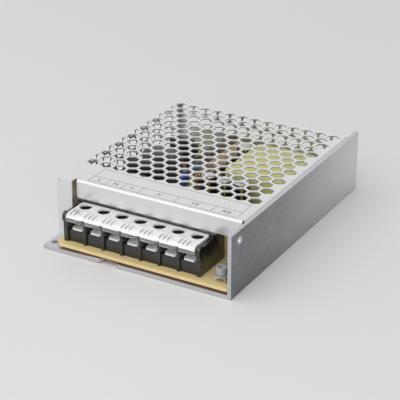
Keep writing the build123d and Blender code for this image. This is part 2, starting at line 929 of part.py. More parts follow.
def make_transformer():
    """Transformer: taped coil over a ferrite core, on a moulded bobbin foot with pins."""
    x, y = place(*coil_place)
    width, length, height = coil_size
    coil_bottom = board_top + coil_lift
    core_half = core_band / 2
    with BuildPart() as coil:
        with BuildSketch(Plane.XY.offset(coil_bottom)):
            with Locations((x, y)):
                outline = Rectangle(width, length)
            chamfer(outline.vertices(), coil_corner)
        extrude(amount=height)
        # Channel under the coil for the core
        with BuildSketch(Plane.YZ.offset(x - width / 2)):
            with Locations((y, coil_bottom)):
                Rectangle(core_band, core_rise, align=(Align.CENTER, Align.MIN))
        extrude(amount=width, mode=Mode.SUBTRACT)
    coil.part.label = "transformer_coil"
    export_step(coil.part, "parts/transformer_coil.step")

    with BuildPart() as core:
        with BuildSketch(Plane.YZ.offset(x - width / 2)):
            with Locations((y, coil_bottom)):
                Rectangle(
                    core_band - 2 * core_fit,
                    core_rise - core_fit,
                    align=(Align.CENTER, Align.MIN),
                )
        extrude(amount=width)
        chamfer(core.edges().filter_by(Axis.Z), core_fit * 4)
    core.part.label = "transformer_core"
    export_step(core.part, "parts/transformer_core.step")

    with BuildPart() as foot:
        with BuildSketch(Plane.XY.offset(board_top + 1)):
            with Locations((x, y)):
                Rectangle(width, length)
        extrude(amount=coil_lift - 1)
        with BuildSketch(Plane.XY.offset(board_top)):
            with Locations(
                (x, y - length / 2 + pin_rail / 2),
                (x, y + length / 2 - pin_rail / 2),
            ):
                Rectangle(width, pin_rail)
        extrude(amount=1)
        # Underside relieved between the rails
        with BuildSketch(Plane.YZ.offset(x - width / 2)):
            with Locations((y, board_top + 1)):
                Rectangle(2 * core_half - pin_rail, 1, align=(Align.CENTER, Align.MIN))
        extrude(amount=width, mode=Mode.SUBTRACT)
    foot.part.label = "transformer_bobbin"
    export_step(foot.part, "parts/transformer_bobbin.step")


def make_bulk_capacitor():
    """Input reservoir capacitor, lying along Y on the board."""
    x, y = place(*bulk_place)
    with BuildPart() as can:
        with BuildSketch(Plane.XZ.offset(-(y + bulk_length / 2))):
            with Locations((x, board_top + bulk_radius)):
                RegularPolygon(bulk_radius, round_flats)
        extrude(amount=bulk_length)
    can.part.label = "bulk_capacitor"
    export_step(can.part, "parts/bulk_capacitor.step")


def make_cans():
    """Upright capacitors: three on the output and one auxiliary."""
    for number, spot in enumerate(can_places, 1):
        with BuildPart() as can:
            with BuildSketch(Plane.XY.offset(board_top)):
                with Locations(place(*spot)):
                    RegularPolygon(can_radius, repeat_flats)
            extrude(amount=can_height)
        can.part.label = f"upright_capacitor_{number}"
        export_step(can.part, f"parts/upright_capacitor_{number}.step")


def make_ring_inductor():
    """Wound ring core standing on edge."""
    x, y = place(*ring_place)
    middle = board_top + ring_lift + ring_radius
    with BuildPart() as ring:
        with BuildSketch(Plane.XZ.offset(-(y + ring_thickness / 2))):
            with Locations((x, middle)):
                RegularPolygon(ring_radius, round_flats)
                RegularPolygon(ring_hole, round_flats, mode=Mode.SUBTRACT)
        extrude(amount=ring_thickness)
        with BuildSketch(Plane.XY.offset(board_top)):
            with Locations((x - ring_hole, y), (x + ring_hole, y)):
                Rectangle(2 * lead, 2 * lead)
        extrude(amount=middle - board_top - (ring_hole + ring_radius) / 2)
    ring.part.label = "output_inductor"
    export_step(ring.part, "parts/output_inductor.step")


def make_discs():
    """Dipped disc parts standing on two leads each."""
    for name, (radius, thickness, spot, faces_x) in discs.items():
        x, y = place(*spot)
        middle = board_top + disc_lift + radius
        plane = Plane.YZ.offset(x - thickness / 2) if faces_x else Plane.XZ.offset(-y - thickness / 2)
        across = y if faces_x else x
        spread = radius / 2
        with BuildPart() as disc:
            with BuildSketch(plane):
                with Locations((across, middle)):
                    RegularPolygon(radius, repeat_flats)
            extrude(amount=thickness)
            leads = [(0, -spread), (0, spread)] if faces_x else [(-spread, 0), (spread, 0)]
            with BuildSketch(Plane.XY.offset(board_top)):
                with Locations(*[(x + dx, y + dy) for dx, dy in leads]):
                    Rectangle(lead, lead)
            extrude(amount=middle - board_top - spread)
        disc.part.label = name
        export_step(disc.part, f"parts/{name}.step")


def make_choke():
    """Line filter choke: a moulded bobbin with two coils round one leg of its core."""
    x, y = place(*choke_place)
    width, length, height = choke_size
    with BuildPart() as core:
        with BuildSketch(Plane.XZ.offset(-(y + choke_core_width / 2))):
            with Locations((x, board_top + choke_flange)):
                Rectangle(width, height - choke_flange, align=(Align.CENTER, Align.MIN))
            with Locations((x, board_top + choke_flange + choke_core_width / 2)):
                Rectangle(
                    width - choke_core_width,
                    height - choke_flange - choke_core_width,
                    align=(Align.CENTER, Align.MIN),
                    mode=Mode.SUBTRACT,
                )
        extrude(amount=choke_core_width)
    core.part.label = "choke_core"
    export_step(core.part, "parts/choke_core.step")

    inner = width - choke_core_width - 2 * fit
    with BuildPart() as bobbin:
        with BuildSketch(Plane.XY.offset(board_top)):
            with Locations((x, y)):
                Rectangle(width, length)
        extrude(amount=choke_flange)
        with BuildSketch(Plane.XY.offset(board_top + choke_flange)):
            with Locations((x, y)):
                Rectangle(inner, length)
                Rectangle(inner, choke_core_width + 2 * fit, mode=Mode.SUBTRACT)
        extrude(amount=height - choke_flange - choke_core_width / 2)
    bobbin.part.label = "choke_coils"
    export_step(bobbin.part, "parts/choke_coils.step")


def make_film_capacitor():
    """Boxed film capacitor across the line."""
    with BuildPart() as box:
        with BuildSketch(Plane.XY.offset(board_top)):
            with Locations(place(*film_place)):
                Rectangle(film_size[0], film_size[1])
        extrude(amount=film_size[2])
        chamfer(box.faces().sort_by(Axis.Z)[-1].edges(), film_round)
    box.part.label = "line_capacitor"
    export_step(box.part, "parts/line_capacitor.step")


def make_fuse():
    """Cartridge fuse lying along X, raised on its end caps."""
    x, y = place(*fuse_place)
    axis = board_top + fuse_lift + fuse_radius
    with BuildPart() as tube:
        with BuildSketch(Plane.YZ.offset(x - fuse_length / 2 + fuse_cap)):
            with Locations((y, axis)):
                RegularPolygon(fuse_radius - fit, repeat_flats)
        extrude(amount=fuse_length - 2 * fuse_cap)
    tube.part.label = "fuse_tube"
    export_step(tube.part, "parts/fuse_tube.step")

    with BuildPart() as caps:
        for start in (x - fuse_length / 2, x + fuse_length / 2 - fuse_cap):
            with BuildSketch(Plane.YZ.offset(start)):
                with Locations((y, axis)):
                    RegularPolygon(fuse_radius, repeat_flats)
                with Locations((y, board_top)):
                    Rectangle(
                        fuse_radius, fuse_lift + fuse_radius, align=(Align.CENTER, Align.MIN)
                    )
            extrude(amount=fuse_cap)
    caps.part.label = "fuse_caps"
    export_step(caps.part, "parts/fuse_caps.step")


def make_bridge():
    """Bridge rectifier, standing, with the bevelled corner that marks its plus lead."""
    x, y = place(*bridge_place)
    width, depth, height = bridge_size
    base = board_top + bridge_lift
    with BuildPart() as bridge:
        with BuildSketch(Plane.XZ.offset(-(y + depth / 2))):
            with Locations((x, base)):
                Rectangle(width, height, align=(Align.CENTER, Align.MIN))
            corner = (x + width / 2, base + height)
            chamfer(vertices().sort_by_distance(corner)[0], bridge_chamfer)
        extrude(amount=depth)
        with BuildSketch(Plane.XY.offset(board_top)):
            with Locations((x, y)):
                with GridLocations(width / 4, 0, 4, 1):
                    Rectangle(2 * lead, lead)
        extrude(amount=bridge_lift)
    bridge.part.label = "bridge_rectifier"
    export_step(bridge.part, "parts/bridge_rectifier.step")


def make_devices():
    """Power devices flat against the wall, with insulating pads and spring clips."""
    width, depth, height = device_body
    base = board_top + device_lift
    back = wall_inner - pad_sheet
    for name, distance in device_places.items():
        y = front + distance
        with BuildPart() as device:
            # Metal tab, with its hole, behind the moulded body
            with BuildSketch(Plane.YZ.offset(back - device_tab)):
                with Locations((y, base)):
                    Rectangle(width, height, align=(Align.CENTER, Align.MIN))
                with Locations((y, base + height - device_tab_rise / 2)):
                    RegularPolygon(device_hole, small_flats, mode=Mode.SUBTRACT)
            extrude(amount=device_tab)
            with BuildSketch(Plane.YZ.offset(back - device_tab)):
                with Locations((y, base)):
                    Rectangle(
                        width, height - device_tab_rise, align=(Align.CENTER, Align.MIN)
                    )
            extrude(amount=-(depth - device_tab))
            # Leads down to the board
            with BuildSketch(Plane.XY.offset(board_top)):
                with Locations((back - depth / 2, y)):
                    with GridLocations(0, width / 4, 1, 3):
                        Rectangle(lead, lead)
            extrude(amount=device_lift)
        device.part.label = name
        export_step(device.part, f"parts/{name}.step")

    pad_height = case_height - lip_drop - pad_clearance - board_top - pad_bottom
    with BuildPart() as pads:
        for distance in device_places.values():
            with BuildSketch(Plane.YZ.offset(back)):
                with Locations((front + distance, board_top + pad_bottom)):
                    Rectangle(
                        width + 2 * pad_margin, pad_height, align=(Align.CENTER, Align.MIN)
                    )
            extrude(amount=pad_sheet)
    pads.part.label = "insulating_pads"
    export_step(pads.part, "parts/insulating_pads.step")

    # Each clip stands on the board, bends over and ends in a foot flat on its device
    face_x = back - depth
    post_x = face_x - clip_reach
    clip_top = board_top + clip_height
    foot_top = clip_top - clip_reach
    with BuildPart() as clips:
        for distance in device_places.values():
            with BuildSketch(Plane.XZ.offset(-(front + distance + clip_width / 2))):
                with BuildLine():
                    Polyline(
                        (post_x, board_top),
                        (post_x, clip_top),
                        (post_x + clip_sheet, clip_top),
                        (face_x, foot_top),
                        (face_x, foot_top - clip_foot),
                        (face_x - clip_sheet, foot_top - clip_foot),
                        (face_x - clip_sheet, foot_top - clip_sheet / 2),
                        (post_x + clip_sheet, clip_top - 1.5 * clip_sheet),
                        (post_x + clip_sheet, board_top),
                        close=True,
                    )
                make_face()
            extrude(amount=clip_width)
    clips.part.label = "device_clips"
    export_step(clips.part, "parts/device_clips.step")


def make_coupler():
    """Optical coupler with bent leads."""
    x, y = place(*coupler_place)
    width, length, height = coupler_size
    with BuildPart() as coupler:
        with BuildSketch(Plane.XY.offset(board_top + lead)):
            with Locations((x, y)):
                Rectangle(width, length)
        extrude(amount=height)
        chamfer(coupler.faces().sort_by(Axis.Z)[-1].edges().filter_by(Axis.Y), lead)
        with BuildSketch(Plane.XY.offset(board_top)):
            with Locations((x, y)):
                with GridLocations(width + lead, length / 2, 2, 2):
                    Rectangle(lead, 2 * lead)
        extrude(amount=height / 2)
    coupler.part.label = "optical_coupler"
    export_step(coupler.part, "parts/optical_coupler.step")


os.makedirs("parts", exist_ok=True)
make_chassis()
make_cover()
make_film()
make_board()
make_board_screws()
make_block()
make_contacts()
make_clamps()
make_terminal_screws()
make_lid()
make_trimmer()
make_lamp()
make_transformer()
make_bulk_capacitor()
make_cans()
make_ring_inductor()
make_discs()
make_choke()
make_film_capacitor()
make_fuse()
make_bridge()
make_devices()
make_coupler()
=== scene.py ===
"""Looks of an enclosed switching power supply: bare aluminium base, folded honeycomb cover, black
terminal block under a clear flap, and the board's parts seen through the holes.

Metres in the row's frame: +Z up, -Y towards the terminals. The classes hold their sizes in
millimetres.
"""

import logging
import math
from collections.abc import Callable
from dataclasses import dataclass, field
from enum import Enum
from functools import cache

import bpy
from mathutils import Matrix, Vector


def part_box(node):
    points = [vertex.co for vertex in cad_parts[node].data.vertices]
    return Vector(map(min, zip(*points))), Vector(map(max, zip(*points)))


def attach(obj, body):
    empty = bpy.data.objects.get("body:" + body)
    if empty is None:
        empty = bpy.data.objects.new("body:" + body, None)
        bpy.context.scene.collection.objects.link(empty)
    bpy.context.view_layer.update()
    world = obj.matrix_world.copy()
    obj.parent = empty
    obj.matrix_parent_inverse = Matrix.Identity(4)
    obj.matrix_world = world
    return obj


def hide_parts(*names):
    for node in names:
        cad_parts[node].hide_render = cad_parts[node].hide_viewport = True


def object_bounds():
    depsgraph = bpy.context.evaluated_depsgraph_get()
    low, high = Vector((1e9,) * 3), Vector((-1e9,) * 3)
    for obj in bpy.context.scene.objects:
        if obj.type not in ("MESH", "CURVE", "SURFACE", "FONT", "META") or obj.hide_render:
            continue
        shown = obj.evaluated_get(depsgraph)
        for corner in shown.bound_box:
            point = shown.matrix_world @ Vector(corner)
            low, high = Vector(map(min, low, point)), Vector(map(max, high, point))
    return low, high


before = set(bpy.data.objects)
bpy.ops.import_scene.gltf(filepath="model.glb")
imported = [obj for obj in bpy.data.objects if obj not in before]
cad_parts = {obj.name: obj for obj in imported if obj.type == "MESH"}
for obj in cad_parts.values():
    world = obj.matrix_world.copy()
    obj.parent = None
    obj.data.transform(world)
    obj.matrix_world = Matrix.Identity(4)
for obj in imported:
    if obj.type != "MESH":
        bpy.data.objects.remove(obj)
CAD_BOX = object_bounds()

Point = tuple[float, float, float]
Pair = tuple[float, float]
Piece = bpy.types.Object
Face = bpy.types.MeshPolygon
Node = bpy.types.Node
Socket = bpy.types.NodeSocket
Inputs = dict[str | int, Socket | float | tuple[float, ...]]

MM = 0.001
CASE = "case"
SMOOTH_ANGLE = math.radians(32.0)
SHARP_ANGLE = math.radians(35.0)
FLAT_ANGLE = math.radians(1.0)
QUARTER = math.radians(90.0)
MERGE_REACH = 0.002 * MM
BEVEL_FACES = 2
UPRIGHT: Point = (0.0, 0.0, 0.0)
TO_RIGHT: Point = (0.0, QUARTER, 0.0)
TO_LEFT: Point = (0.0, -QUARTER, 0.0)
TO_FRONT: Point = (QUARTER, 0.0, 0.0)
log = logging.getLogger("power_supply")


def mm(*values: float) -> Vector:
    """A point given in millimetres."""
    return Vector([value * MM for value in values])


def linear(code: str) -> tuple[float, ...]:
    """Linear colour of a six-digit sRGB code.

    Args:
        code: Six hexadecimal digits.

    Returns:
        Red, green, blue and a full alpha, from 0 to 1.
    """
    shares = [int(code[k:k + 2], 16) / 255 for k in (0, 2, 4)]
    bent = [
        share / 12.92 if share <= 0.04045 else ((share + 0.055) / 1.055) ** 2.4
        for share in shares
    ]
    return (*bent, 1.0)


@dataclass(frozen=True)
class Span:
    """The box that a CAD node fills, from its lowest to its highest corner in metres."""

    low: Vector
    high: Vector

    @classmethod
    def of(cls, node: str) -> "Span":
        """The box of one CAD node."""
        return cls(*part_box(node))

    @property
    def size(self) -> Vector:
        """How far the box reaches along each axis."""
        return self.high - self.low

    @property
    def middle(self) -> Vector:
        """The centre of the box."""
        return (self.low + self.high) / 2

    @property
    def foot(self) -> Vector:
        """The centre of the box's underside."""
        return Vector((self.middle.x, self.middle.y, self.low.z))

    @property
    def radius(self) -> float:
        """Half of the box's width along X, in millimetres."""
        return self.size.x / 2 / MM


# Shader graphs


class Graph:
    """A node tree, with short moves that add and feed its nodes."""

    def __init__(self, tree: bpy.types.NodeTree) -> None:
        """Takes the tree to work on."""
        self.tree = tree

    def feed(self, node: Node, inputs: Inputs) -> Node:
        """Sets or links a node's inputs.

        Args:
            node: The node.
            inputs: For each input, its value or the socket that is linked to it.

        Returns:
            The same node.
        """
        for key, value in inputs.items():
            if isinstance(value, Socket):
                self.tree.links.new(value, node.inputs[key])
            else:
                node.inputs[key].default_value = value
        return node

    def add(self, kind: str, inputs: Inputs, **settings: object) -> Node:
        """Adds a node.

        Args:
            kind: The node's type.
            inputs: What its inputs are fed with.
            settings: The node's own properties, which are set first.

        Returns:
            The new node.
        """
        node = self.tree.nodes.new(kind)
        for name, value in settings.items():
            setattr(node, name, value)
        return self.feed(node, inputs)

    def reckon(self, operation: str, first: Socket, second: Socket | float = 0.0) -> Socket:
        """The result of a sum on one or two values."""
        return self.reckon_with(operation, {0: first, 1: second})

    def blend(self, first: Socket, second: Socket, share: float) -> Socket:
        """A mix of two values with the given share of the second."""
        inputs = {"Factor": share, "A": first, "B": second}
        return self.add("ShaderNodeMix", inputs).outputs["Result"]

    def step(self, value: Socket, low: float, high: float) -> Socket:
        """A soft step from 0 at one value to 1 at another, which may be the lower one."""
        inputs = {"Value": value, "From Min": low, "From Max": high}
        return self.map_range(inputs, interpolation_type="SMOOTHSTEP")

    def map_range(self, inputs: Inputs, **settings: object) -> Socket:
        """A value brought from one range to another."""
        return self.add("ShaderNodeMapRange", inputs, **settings).outputs["Result"]

    def noise(self, place: Socket, scale: Socket, detail: float, rough: float) -> Socket:
        """A noise at a place and a scale, with a number and a strength of finer layers."""
        inputs = {"Vector": place, "Scale": scale, "Detail": detail, "Roughness": rough}
        return self.add("ShaderNodeTexNoise", inputs).outputs["Fac"]

    def spread(self, value: Socket, contrast: Socket) -> Socket:
        """A value stretched about its middle by a contrast, and kept from 0 to 1."""
        inputs = {0: self.reckon("SUBTRACT", value, 0.5), 1: contrast, 2: 0.5}
        return self.reckon_with("MULTIPLY_ADD", inputs, use_clamp=True)

    def reckon_with(self, operation: str, inputs: Inputs, **settings: object) -> Socket:
        """The result of a sum on any values."""
        return self.add("ShaderNodeMath", inputs, operation=operation, **settings).outputs[0]


class Grain(Enum):
    """The surface patterns that finishes share."""

    FINE = "fine_grain"
    BRUSHED = "brushed_lines"
    FADING = "painted_reflection_lines"
    LAYERED = "tape_layers"
    FLUTED = "painted_shade_bands"


@dataclass(frozen=True)
class GrainLibrary:
    """Builds each shared pattern once, as a group with a mask and a height."""

    sockets: tuple[tuple[str, str, str], ...] = (
        ("Place", "INPUT", "NodeSocketVector"), ("Scale", "INPUT", "NodeSocketFloat"),
        ("Contrast", "INPUT", "NodeSocketFloat"), ("Mask", "OUTPUT", "NodeSocketFloat"),
        ("Height", "OUTPUT", "NodeSocketFloat"),
    )
    fine_noise: Pair = (4.0, 0.6)
    line_noise: Pair = (3.0, 0.7)
    line_stretch: Point = (1.0, 0.06, 1.0)
    cloud_noise: Pair = (2.0, 0.5)
    cloud_scale: float = 0.02
    cloud_share: float = 0.45
    # Painted reflection: the span along Y over which the wall's colour goes from dark to light,
    # and its share of the mask.
    reflection_fade_ends: Pair = (-48.0, 72.0)
    reflection_fade_share: float = 0.7
    layer_noise: Pair = (3.0, 0.6)
    layer_waver: float = 1.2
    layer_share: float = 0.35
    # Painted shade bands on the flap: start, pitch and waves across X, and the edges of the zone
    # along Y.
    shade_band_start: float = -37.85
    shade_band_pitch: float = 9.7
    shade_band_waves: float = 4.6
    shade_band_span: Pair = (0.74, 0.56)
    shade_band_back: Pair = (-56.2, -58.6)
    shade_band_front: Pair = (-62.2, -60.6)

    @cache
    def group(self, grain: Grain) -> bpy.types.NodeTree:
        """The node group of a pattern.

        Args:
            grain: Which pattern.

        Returns:
            The group, made on its first use.
        """
        makers = {
            Grain.FINE: self._fine, Grain.BRUSHED: self._brushed, Grain.FADING: self._painted_reflection_fade,
            Grain.LAYERED: self._layered, Grain.FLUTED: self._painted_shade_bands,
        }
        tree = bpy.data.node_groups.new(grain.value, "ShaderNodeTree")
        for name, way, kind in self.sockets:
            tree.interface.new_socket(name, in_out=way, socket_type=kind)
        graph = Graph(tree)
        mask, height = makers[grain](graph, graph.add("NodeGroupInput", {}))
        graph.add("NodeGroupOutput", {"Mask": mask, "Height": height})
        return tree

    def _fine(self, graph: Graph, source: Node) -> tuple[Socket, Socket]:
        """Small even grain, as on moulded, coated and plated surfaces."""
        grain = graph.noise(source.outputs["Place"], source.outputs["Scale"], *self.fine_noise)
        return graph.spread(grain, source.outputs["Contrast"]), grain

    def _brushed(self, graph: Graph, source: Node) -> tuple[Socket, Socket]:
        """Long fine lines with broad clouds, as on rolled and brushed sheet.

        Args:
            graph: The group's graph.
            source: The group's input node.

        Returns:
            The mask and the height.
        """
        stretch = {"Vector": source.outputs["Place"], "Scale": self.line_stretch}
        place = graph.add("ShaderNodeMapping", stretch).outputs["Vector"]
        lines = graph.noise(place, source.outputs["Scale"], *self.line_noise)
        coarse = graph.reckon("MULTIPLY", source.outputs["Scale"], self.cloud_scale)
        clouds = graph.noise(source.outputs["Place"], coarse, *self.cloud_noise)
        both = graph.blend(lines, clouds, self.cloud_share)
        return graph.spread(both, source.outputs["Contrast"]), lines

    def _painted_reflection_fade(self, graph: Graph, source: Node) -> tuple[Socket, Socket]:
        """Brushed lines on a sheet whose colour grows lighter from the front to the rear: a
        painted reflection.

        Args:
            graph: The group's graph.
            source: The group's input node.

        Returns:
            The mask and the height.
        """
        inputs = {name: source.outputs[name] for name in ("Place", "Scale", "Contrast")}
        lines = graph.add("ShaderNodeGroup", inputs, node_tree=self.group(Grain.BRUSHED))
        parts = graph.add("ShaderNodeSeparateXYZ", {0: source.outputs["Place"]})
        # Painted reflection: a rise along Y, lighter towards the rear, mixed into the brushed
        # mask.
        rise = graph.step(parts.outputs["Y"], *(end * MM for end in self.reflection_fade_ends))
        mask = graph.reckon(
            "ADD", graph.reckon("MULTIPLY", lines.outputs["Mask"], 1.0 - self.reflection_fade_share),
            graph.reckon("MULTIPLY", rise, self.reflection_fade_share),
        )
        return mask, lines.outputs["Height"]

    def _layered(self, graph: Graph, source: Node) -> tuple[Socket, Socket]:
        """Bands one over another along Z, as on wound tape, under a fine grain.

        Args:
            graph: The group's graph.
            source: The group's input node.

        Returns:
            The mask and the height.
        """
        place, scale = source.outputs["Place"], source.outputs["Scale"]
        inputs = {"Vector": place, "Scale": scale, "Distortion": self.layer_waver}
        bands = graph.add("ShaderNodeTexWave", inputs, bands_direction="Z").outputs["Fac"]
        grain = graph.noise(place, scale, *self.layer_noise)
        both = graph.blend(bands, grain, self.layer_share)
        return graph.spread(both, source.outputs["Contrast"]), bands

    def _painted_shade_bands(self, graph: Graph, source: Node) -> tuple[Socket, Socket]:
        """Painted shade: soft dark bands, a few to each way, along the clear flap's front edge,
        for the dark bays under the flap.

        Args:
            graph: The group's graph.
            source: The group's input node.

        Returns:
            The mask and the height.
        """
        parts = graph.add("ShaderNodeSeparateXYZ", {0: source.outputs["Place"]})
        shifted = graph.reckon("ADD", parts.outputs["X"], -self.shade_band_start * MM)
        ways = graph.reckon("MULTIPLY", shifted, 1 / (self.shade_band_pitch * MM))
        share = graph.reckon("FRACT", ways)
        turn = graph.reckon("MULTIPLY", share, 2 * math.pi * self.shade_band_waves)
        height = graph.step(graph.reckon("SINE", turn), -1.0, 1.0)
        height = graph.reckon("MULTIPLY", height, graph.step(share, *self.shade_band_span))
        for ends in (self.shade_band_back, self.shade_band_front):
            near = graph.step(parts.outputs["Y"], *(end * MM for end in ends))
            height = graph.reckon("MULTIPLY", height, near)
        return graph.reckon("MULTIPLY", height, source.outputs["Contrast"]), height


GRAINS = GrainLibrary()


# Finishes


@dataclass(frozen=True)
class Finish:
    """A procedural finish: two near colours, a roughness range and a surface pattern."""

    name: str
    colour: str
    second: str
    rough: Pair
    metallic: float = 0.0
    grain: Grain = Grain.FINE
    scale: float = 900.0
    contrast: float = 1.6
    bump: float = 0.1
    depth_mm: float = 0.05
    coat: float = 0.0
    coat_rough: float = 0.08
    specular: float = 0.5
    transmission: float = 0.0
    ior: float = 1.5
    glow: float = 0.0
    glow_mm: float = 1.5

    @cache
    def material(self) -> bpy.types.Material:
        """The finish as a material, made on its first use.

        Returns:
            A node material with this finish's name.
        """
        made = bpy.data.materials.new(self.name)
        made.use_nodes = True
        graph = Graph(made.node_tree)
        place = graph.add("ShaderNodeTexCoord", {}).outputs["Object"]
        pattern = graph.add(
            "ShaderNodeGroup", {"Place": place, "Scale": self.scale, "Contrast": self.contrast},
            node_tree=GRAINS.group(self.grain),
        )
        mask = pattern.outputs["Mask"]
        colours = {"Factor": mask, "A": linear(self.colour), "B": linear(self.second)}
        tint = graph.add("ShaderNodeMix", colours, data_type="RGBA")
        low, high = self.rough
        gloss = graph.map_range({"Value": mask, "To Min": low, "To Max": high})
        bump = graph.add("ShaderNodeBump", {
            "Strength": self.bump, "Distance": self.depth_mm * MM,
            "Height": pattern.outputs["Height"],
        })
        graph.feed(made.node_tree.nodes["Principled BSDF"], {
            "Base Color": tint.outputs["Result"], "Roughness": gloss,
            "Normal": bump.outputs["Normal"], "Metallic": self.metallic,
            "Coat Weight": self.coat, "Coat Roughness": self.coat_rough,
            "Specular IOR Level": self.specular, "Transmission Weight": self.transmission,
            "IOR": self.ior, "Subsurface Weight": self.glow,
            "Subsurface Scale": self.glow_mm * MM,
        })
        return made


BARE_SHEET = Finish(
    "bare_sheet", "c2c3c5", "d5d6d8", (0.24, 0.36), metallic=0.85, grain=Grain.BRUSHED,
    scale=1400.0, contrast=1.4, bump=0.10, depth_mm=0.02,
)
# Painted reflection: the wall's outer face goes from dark grey at the front to near white at the
# rear.
WALL_SHEET_PAINTED_REFLECTION = Finish(
    "wall_sheet_painted_reflection", "65676a", "e2e3e5", (0.38, 0.26), metallic=0.9, grain=Grain.FADING,
    scale=1400.0, contrast=2.0, bump=0.14, depth_mm=0.02,
)
COVER_SHEET = Finish(
    "cover_sheet", "dadbdc", "ececed", (0.20, 0.28), metallic=0.6, grain=Grain.FINE,
    scale=1500.0, contrast=1.6, bump=0.05, depth_mm=0.02,
)
BLACK_MOULDING = Finish(
    "black_moulding", "0c0c0d", "151516", (0.18, 0.28), scale=1400.0, bump=0.08, depth_mm=0.03,
    coat=0.6, specular=0.6,
)
# The flap's milky top; its second colour is painted shade in bands over the bays.
MILKY_MOULDING_PAINTED_SHADE = Finish(
    "milky_moulding_painted_shade", "fafafa", "a9aaab", (0.10, 0.16), grain=Grain.FLUTED, contrast=1.0,
    bump=0.02, coat=1.0, transmission=0.06, ior=1.49,
)
CLEAR_MOULDING = Finish(
    "clear_moulding", "f5f5f5", "fdfdfd", (0.06, 0.12), scale=300.0, bump=0.02,
    coat=0.6, transmission=0.88, ior=1.49,
)
TINNED = Finish(
    "tinned_contact", "f4f4f2", "fcfcfa", (0.20, 0.32), metallic=0.12, scale=700.0, bump=0.04,
)
PLATED = Finish(
    "plated_steel", "c9c9c6", "dcdcd9", (0.20, 0.34), metallic=0.85, scale=900.0, bump=0.06,
)
LAMINATE = Finish(
    "board_laminate", "e2c98e", "ebd7a4", (0.42, 0.56), scale=1100.0, contrast=1.8, bump=0.10,
    glow=0.35, glow_mm=2.0,
)
# Painted shade: dark orange for the shaded gap under the board's front edge.
UNDERSIDE_PAINTED_SHADE = Finish("underside_painted_shade", "a9501f", "bf6a33", (0.25, 0.40), scale=700.0, bump=0.05)
FILM = Finish("base_film", "d8935a", "e0a878", (0.30, 0.45), scale=500.0, bump=0.05)
GREY_MOULDING = Finish(
    "grey_moulding", "9a9b9c", "aaabac", (0.36, 0.50), scale=1200.0, bump=0.12,
)
TAPE = Finish(
    "yellow_tape", "dedc9a", "e9e7b2", (0.28, 0.40), grain=Grain.LAYERED, scale=160.0,
    contrast=0.9, bump=0.12, depth_mm=0.05, glow=0.2,
)
FERRITE = Finish("ferrite", "2a2826", "3a3734", (0.55, 0.72), scale=1600.0, bump=0.25)
SLEEVE = Finish(
    "dark_sleeve", "1c120e", "2a1c15", (0.14, 0.24), scale=500.0, bump=0.05, coat=0.3,
)
SLEEVE_STRIPE = Finish(
    "sleeve_stripe", "8d7d34", "a2924a", (0.16, 0.26), scale=500.0, bump=0.05, coat=0.3,
)
BROWN_SLEEVE = Finish(
    "brown_sleeve", "3a2717", "4c3521", (0.16, 0.26), scale=500.0, bump=0.05, coat=0.3,
)
# Beige band on the reservoir can's lit flank: its sleeve stripe, and a painted highlight.
BROWN_STRIPE_AND_HIGHLIGHT = Finish(
    "brown_sleeve_stripe_and_painted_highlight", "c2a684", "d2b896", (0.18, 0.28), scale=500.0, bump=0.05, coat=0.3,
)
CAN_TOP = Finish(
    "can_aluminium", "d9d9da", "e8e8e8", (0.18, 0.30), metallic=0.85, scale=800.0, bump=0.05,
)
GOLD_WIRE = Finish(
    "enamelled_wire", "b98b46", "d2a961", (0.20, 0.32), metallic=0.6, scale=900.0, bump=0.05,
)
DARK_WINDING = Finish(
    "dark_winding", "3a3836", "4d4a47", (0.24, 0.38), metallic=0.2, scale=900.0, bump=0.08,
)
BLUE_EPOXY = Finish(
    "blue_epoxy", "2458b4", "306acb", (0.14, 0.26), scale=500.0, bump=0.10, coat=0.4,
)
DARK_EPOXY = Finish("dark_epoxy", "202021", "2d2d2e", (0.38, 0.52), scale=1300.0, bump=0.18)
GREY_BOX = Finish("grey_box", "454648", "525355", (0.26, 0.40), scale=900.0, bump=0.08, coat=0.2)
GLASS = Finish(
    "fuse_glass", "f6f8f6", "fdfdfc", (0.02, 0.06), scale=200.0, bump=0.01, transmission=1.0,
)
NICKEL = Finish(
    "nickel_cap", "cac6bd", "dad7cf", (0.14, 0.24), metallic=1.0, scale=900.0, bump=0.04,
)
PAD = Finish("grey_pad", "84888b", "94989a", (0.65, 0.80), scale=1500.0, bump=0.20)
WHITE_MOULDING = Finish("white_moulding", "d9d9d4", "e4e4e0", (0.38, 0.50), scale=1200.0)
LAMP_GREEN = Finish(
    "green_lamp", "2f9a49", "41b55f", (0.08, 0.16), scale=400.0, bump=0.02, transmission=0.5,
)
PRINT = Finish("label_print", "36373a", "434447", (0.50, 0.62), scale=2200.0, bump=0.03)
FLOOR_PAPER = Finish("floor_paper", "e6e6e6", "e9e9e9", (0.8, 0.9), scale=4.0, bump=0.0)


def dress(piece: Piece, *finishes: Finish) -> Piece:
    """Puts finishes in a piece's material slots, in order.

    Args:
        piece: Any mesh object.
        finishes: One finish for each slot.

    Returns:
        The same piece.
    """
    piece.data.materials.clear()
    for finish in finishes:
        piece.data.materials.append(finish.material())
    return piece


def dress_by_face(piece: Piece, choose: Callable[[Face], int], *finishes: Finish) -> None:
    """Puts finishes on a piece, each face by its place.

    Args:
        piece: Any mesh object.
        choose: Gives the number of a face's finish.
        finishes: The finishes, numbered from 0.
    """
    dress(piece, *finishes)
    for face in piece.data.polygons:
        face.material_index = choose(face)


# Hand moves


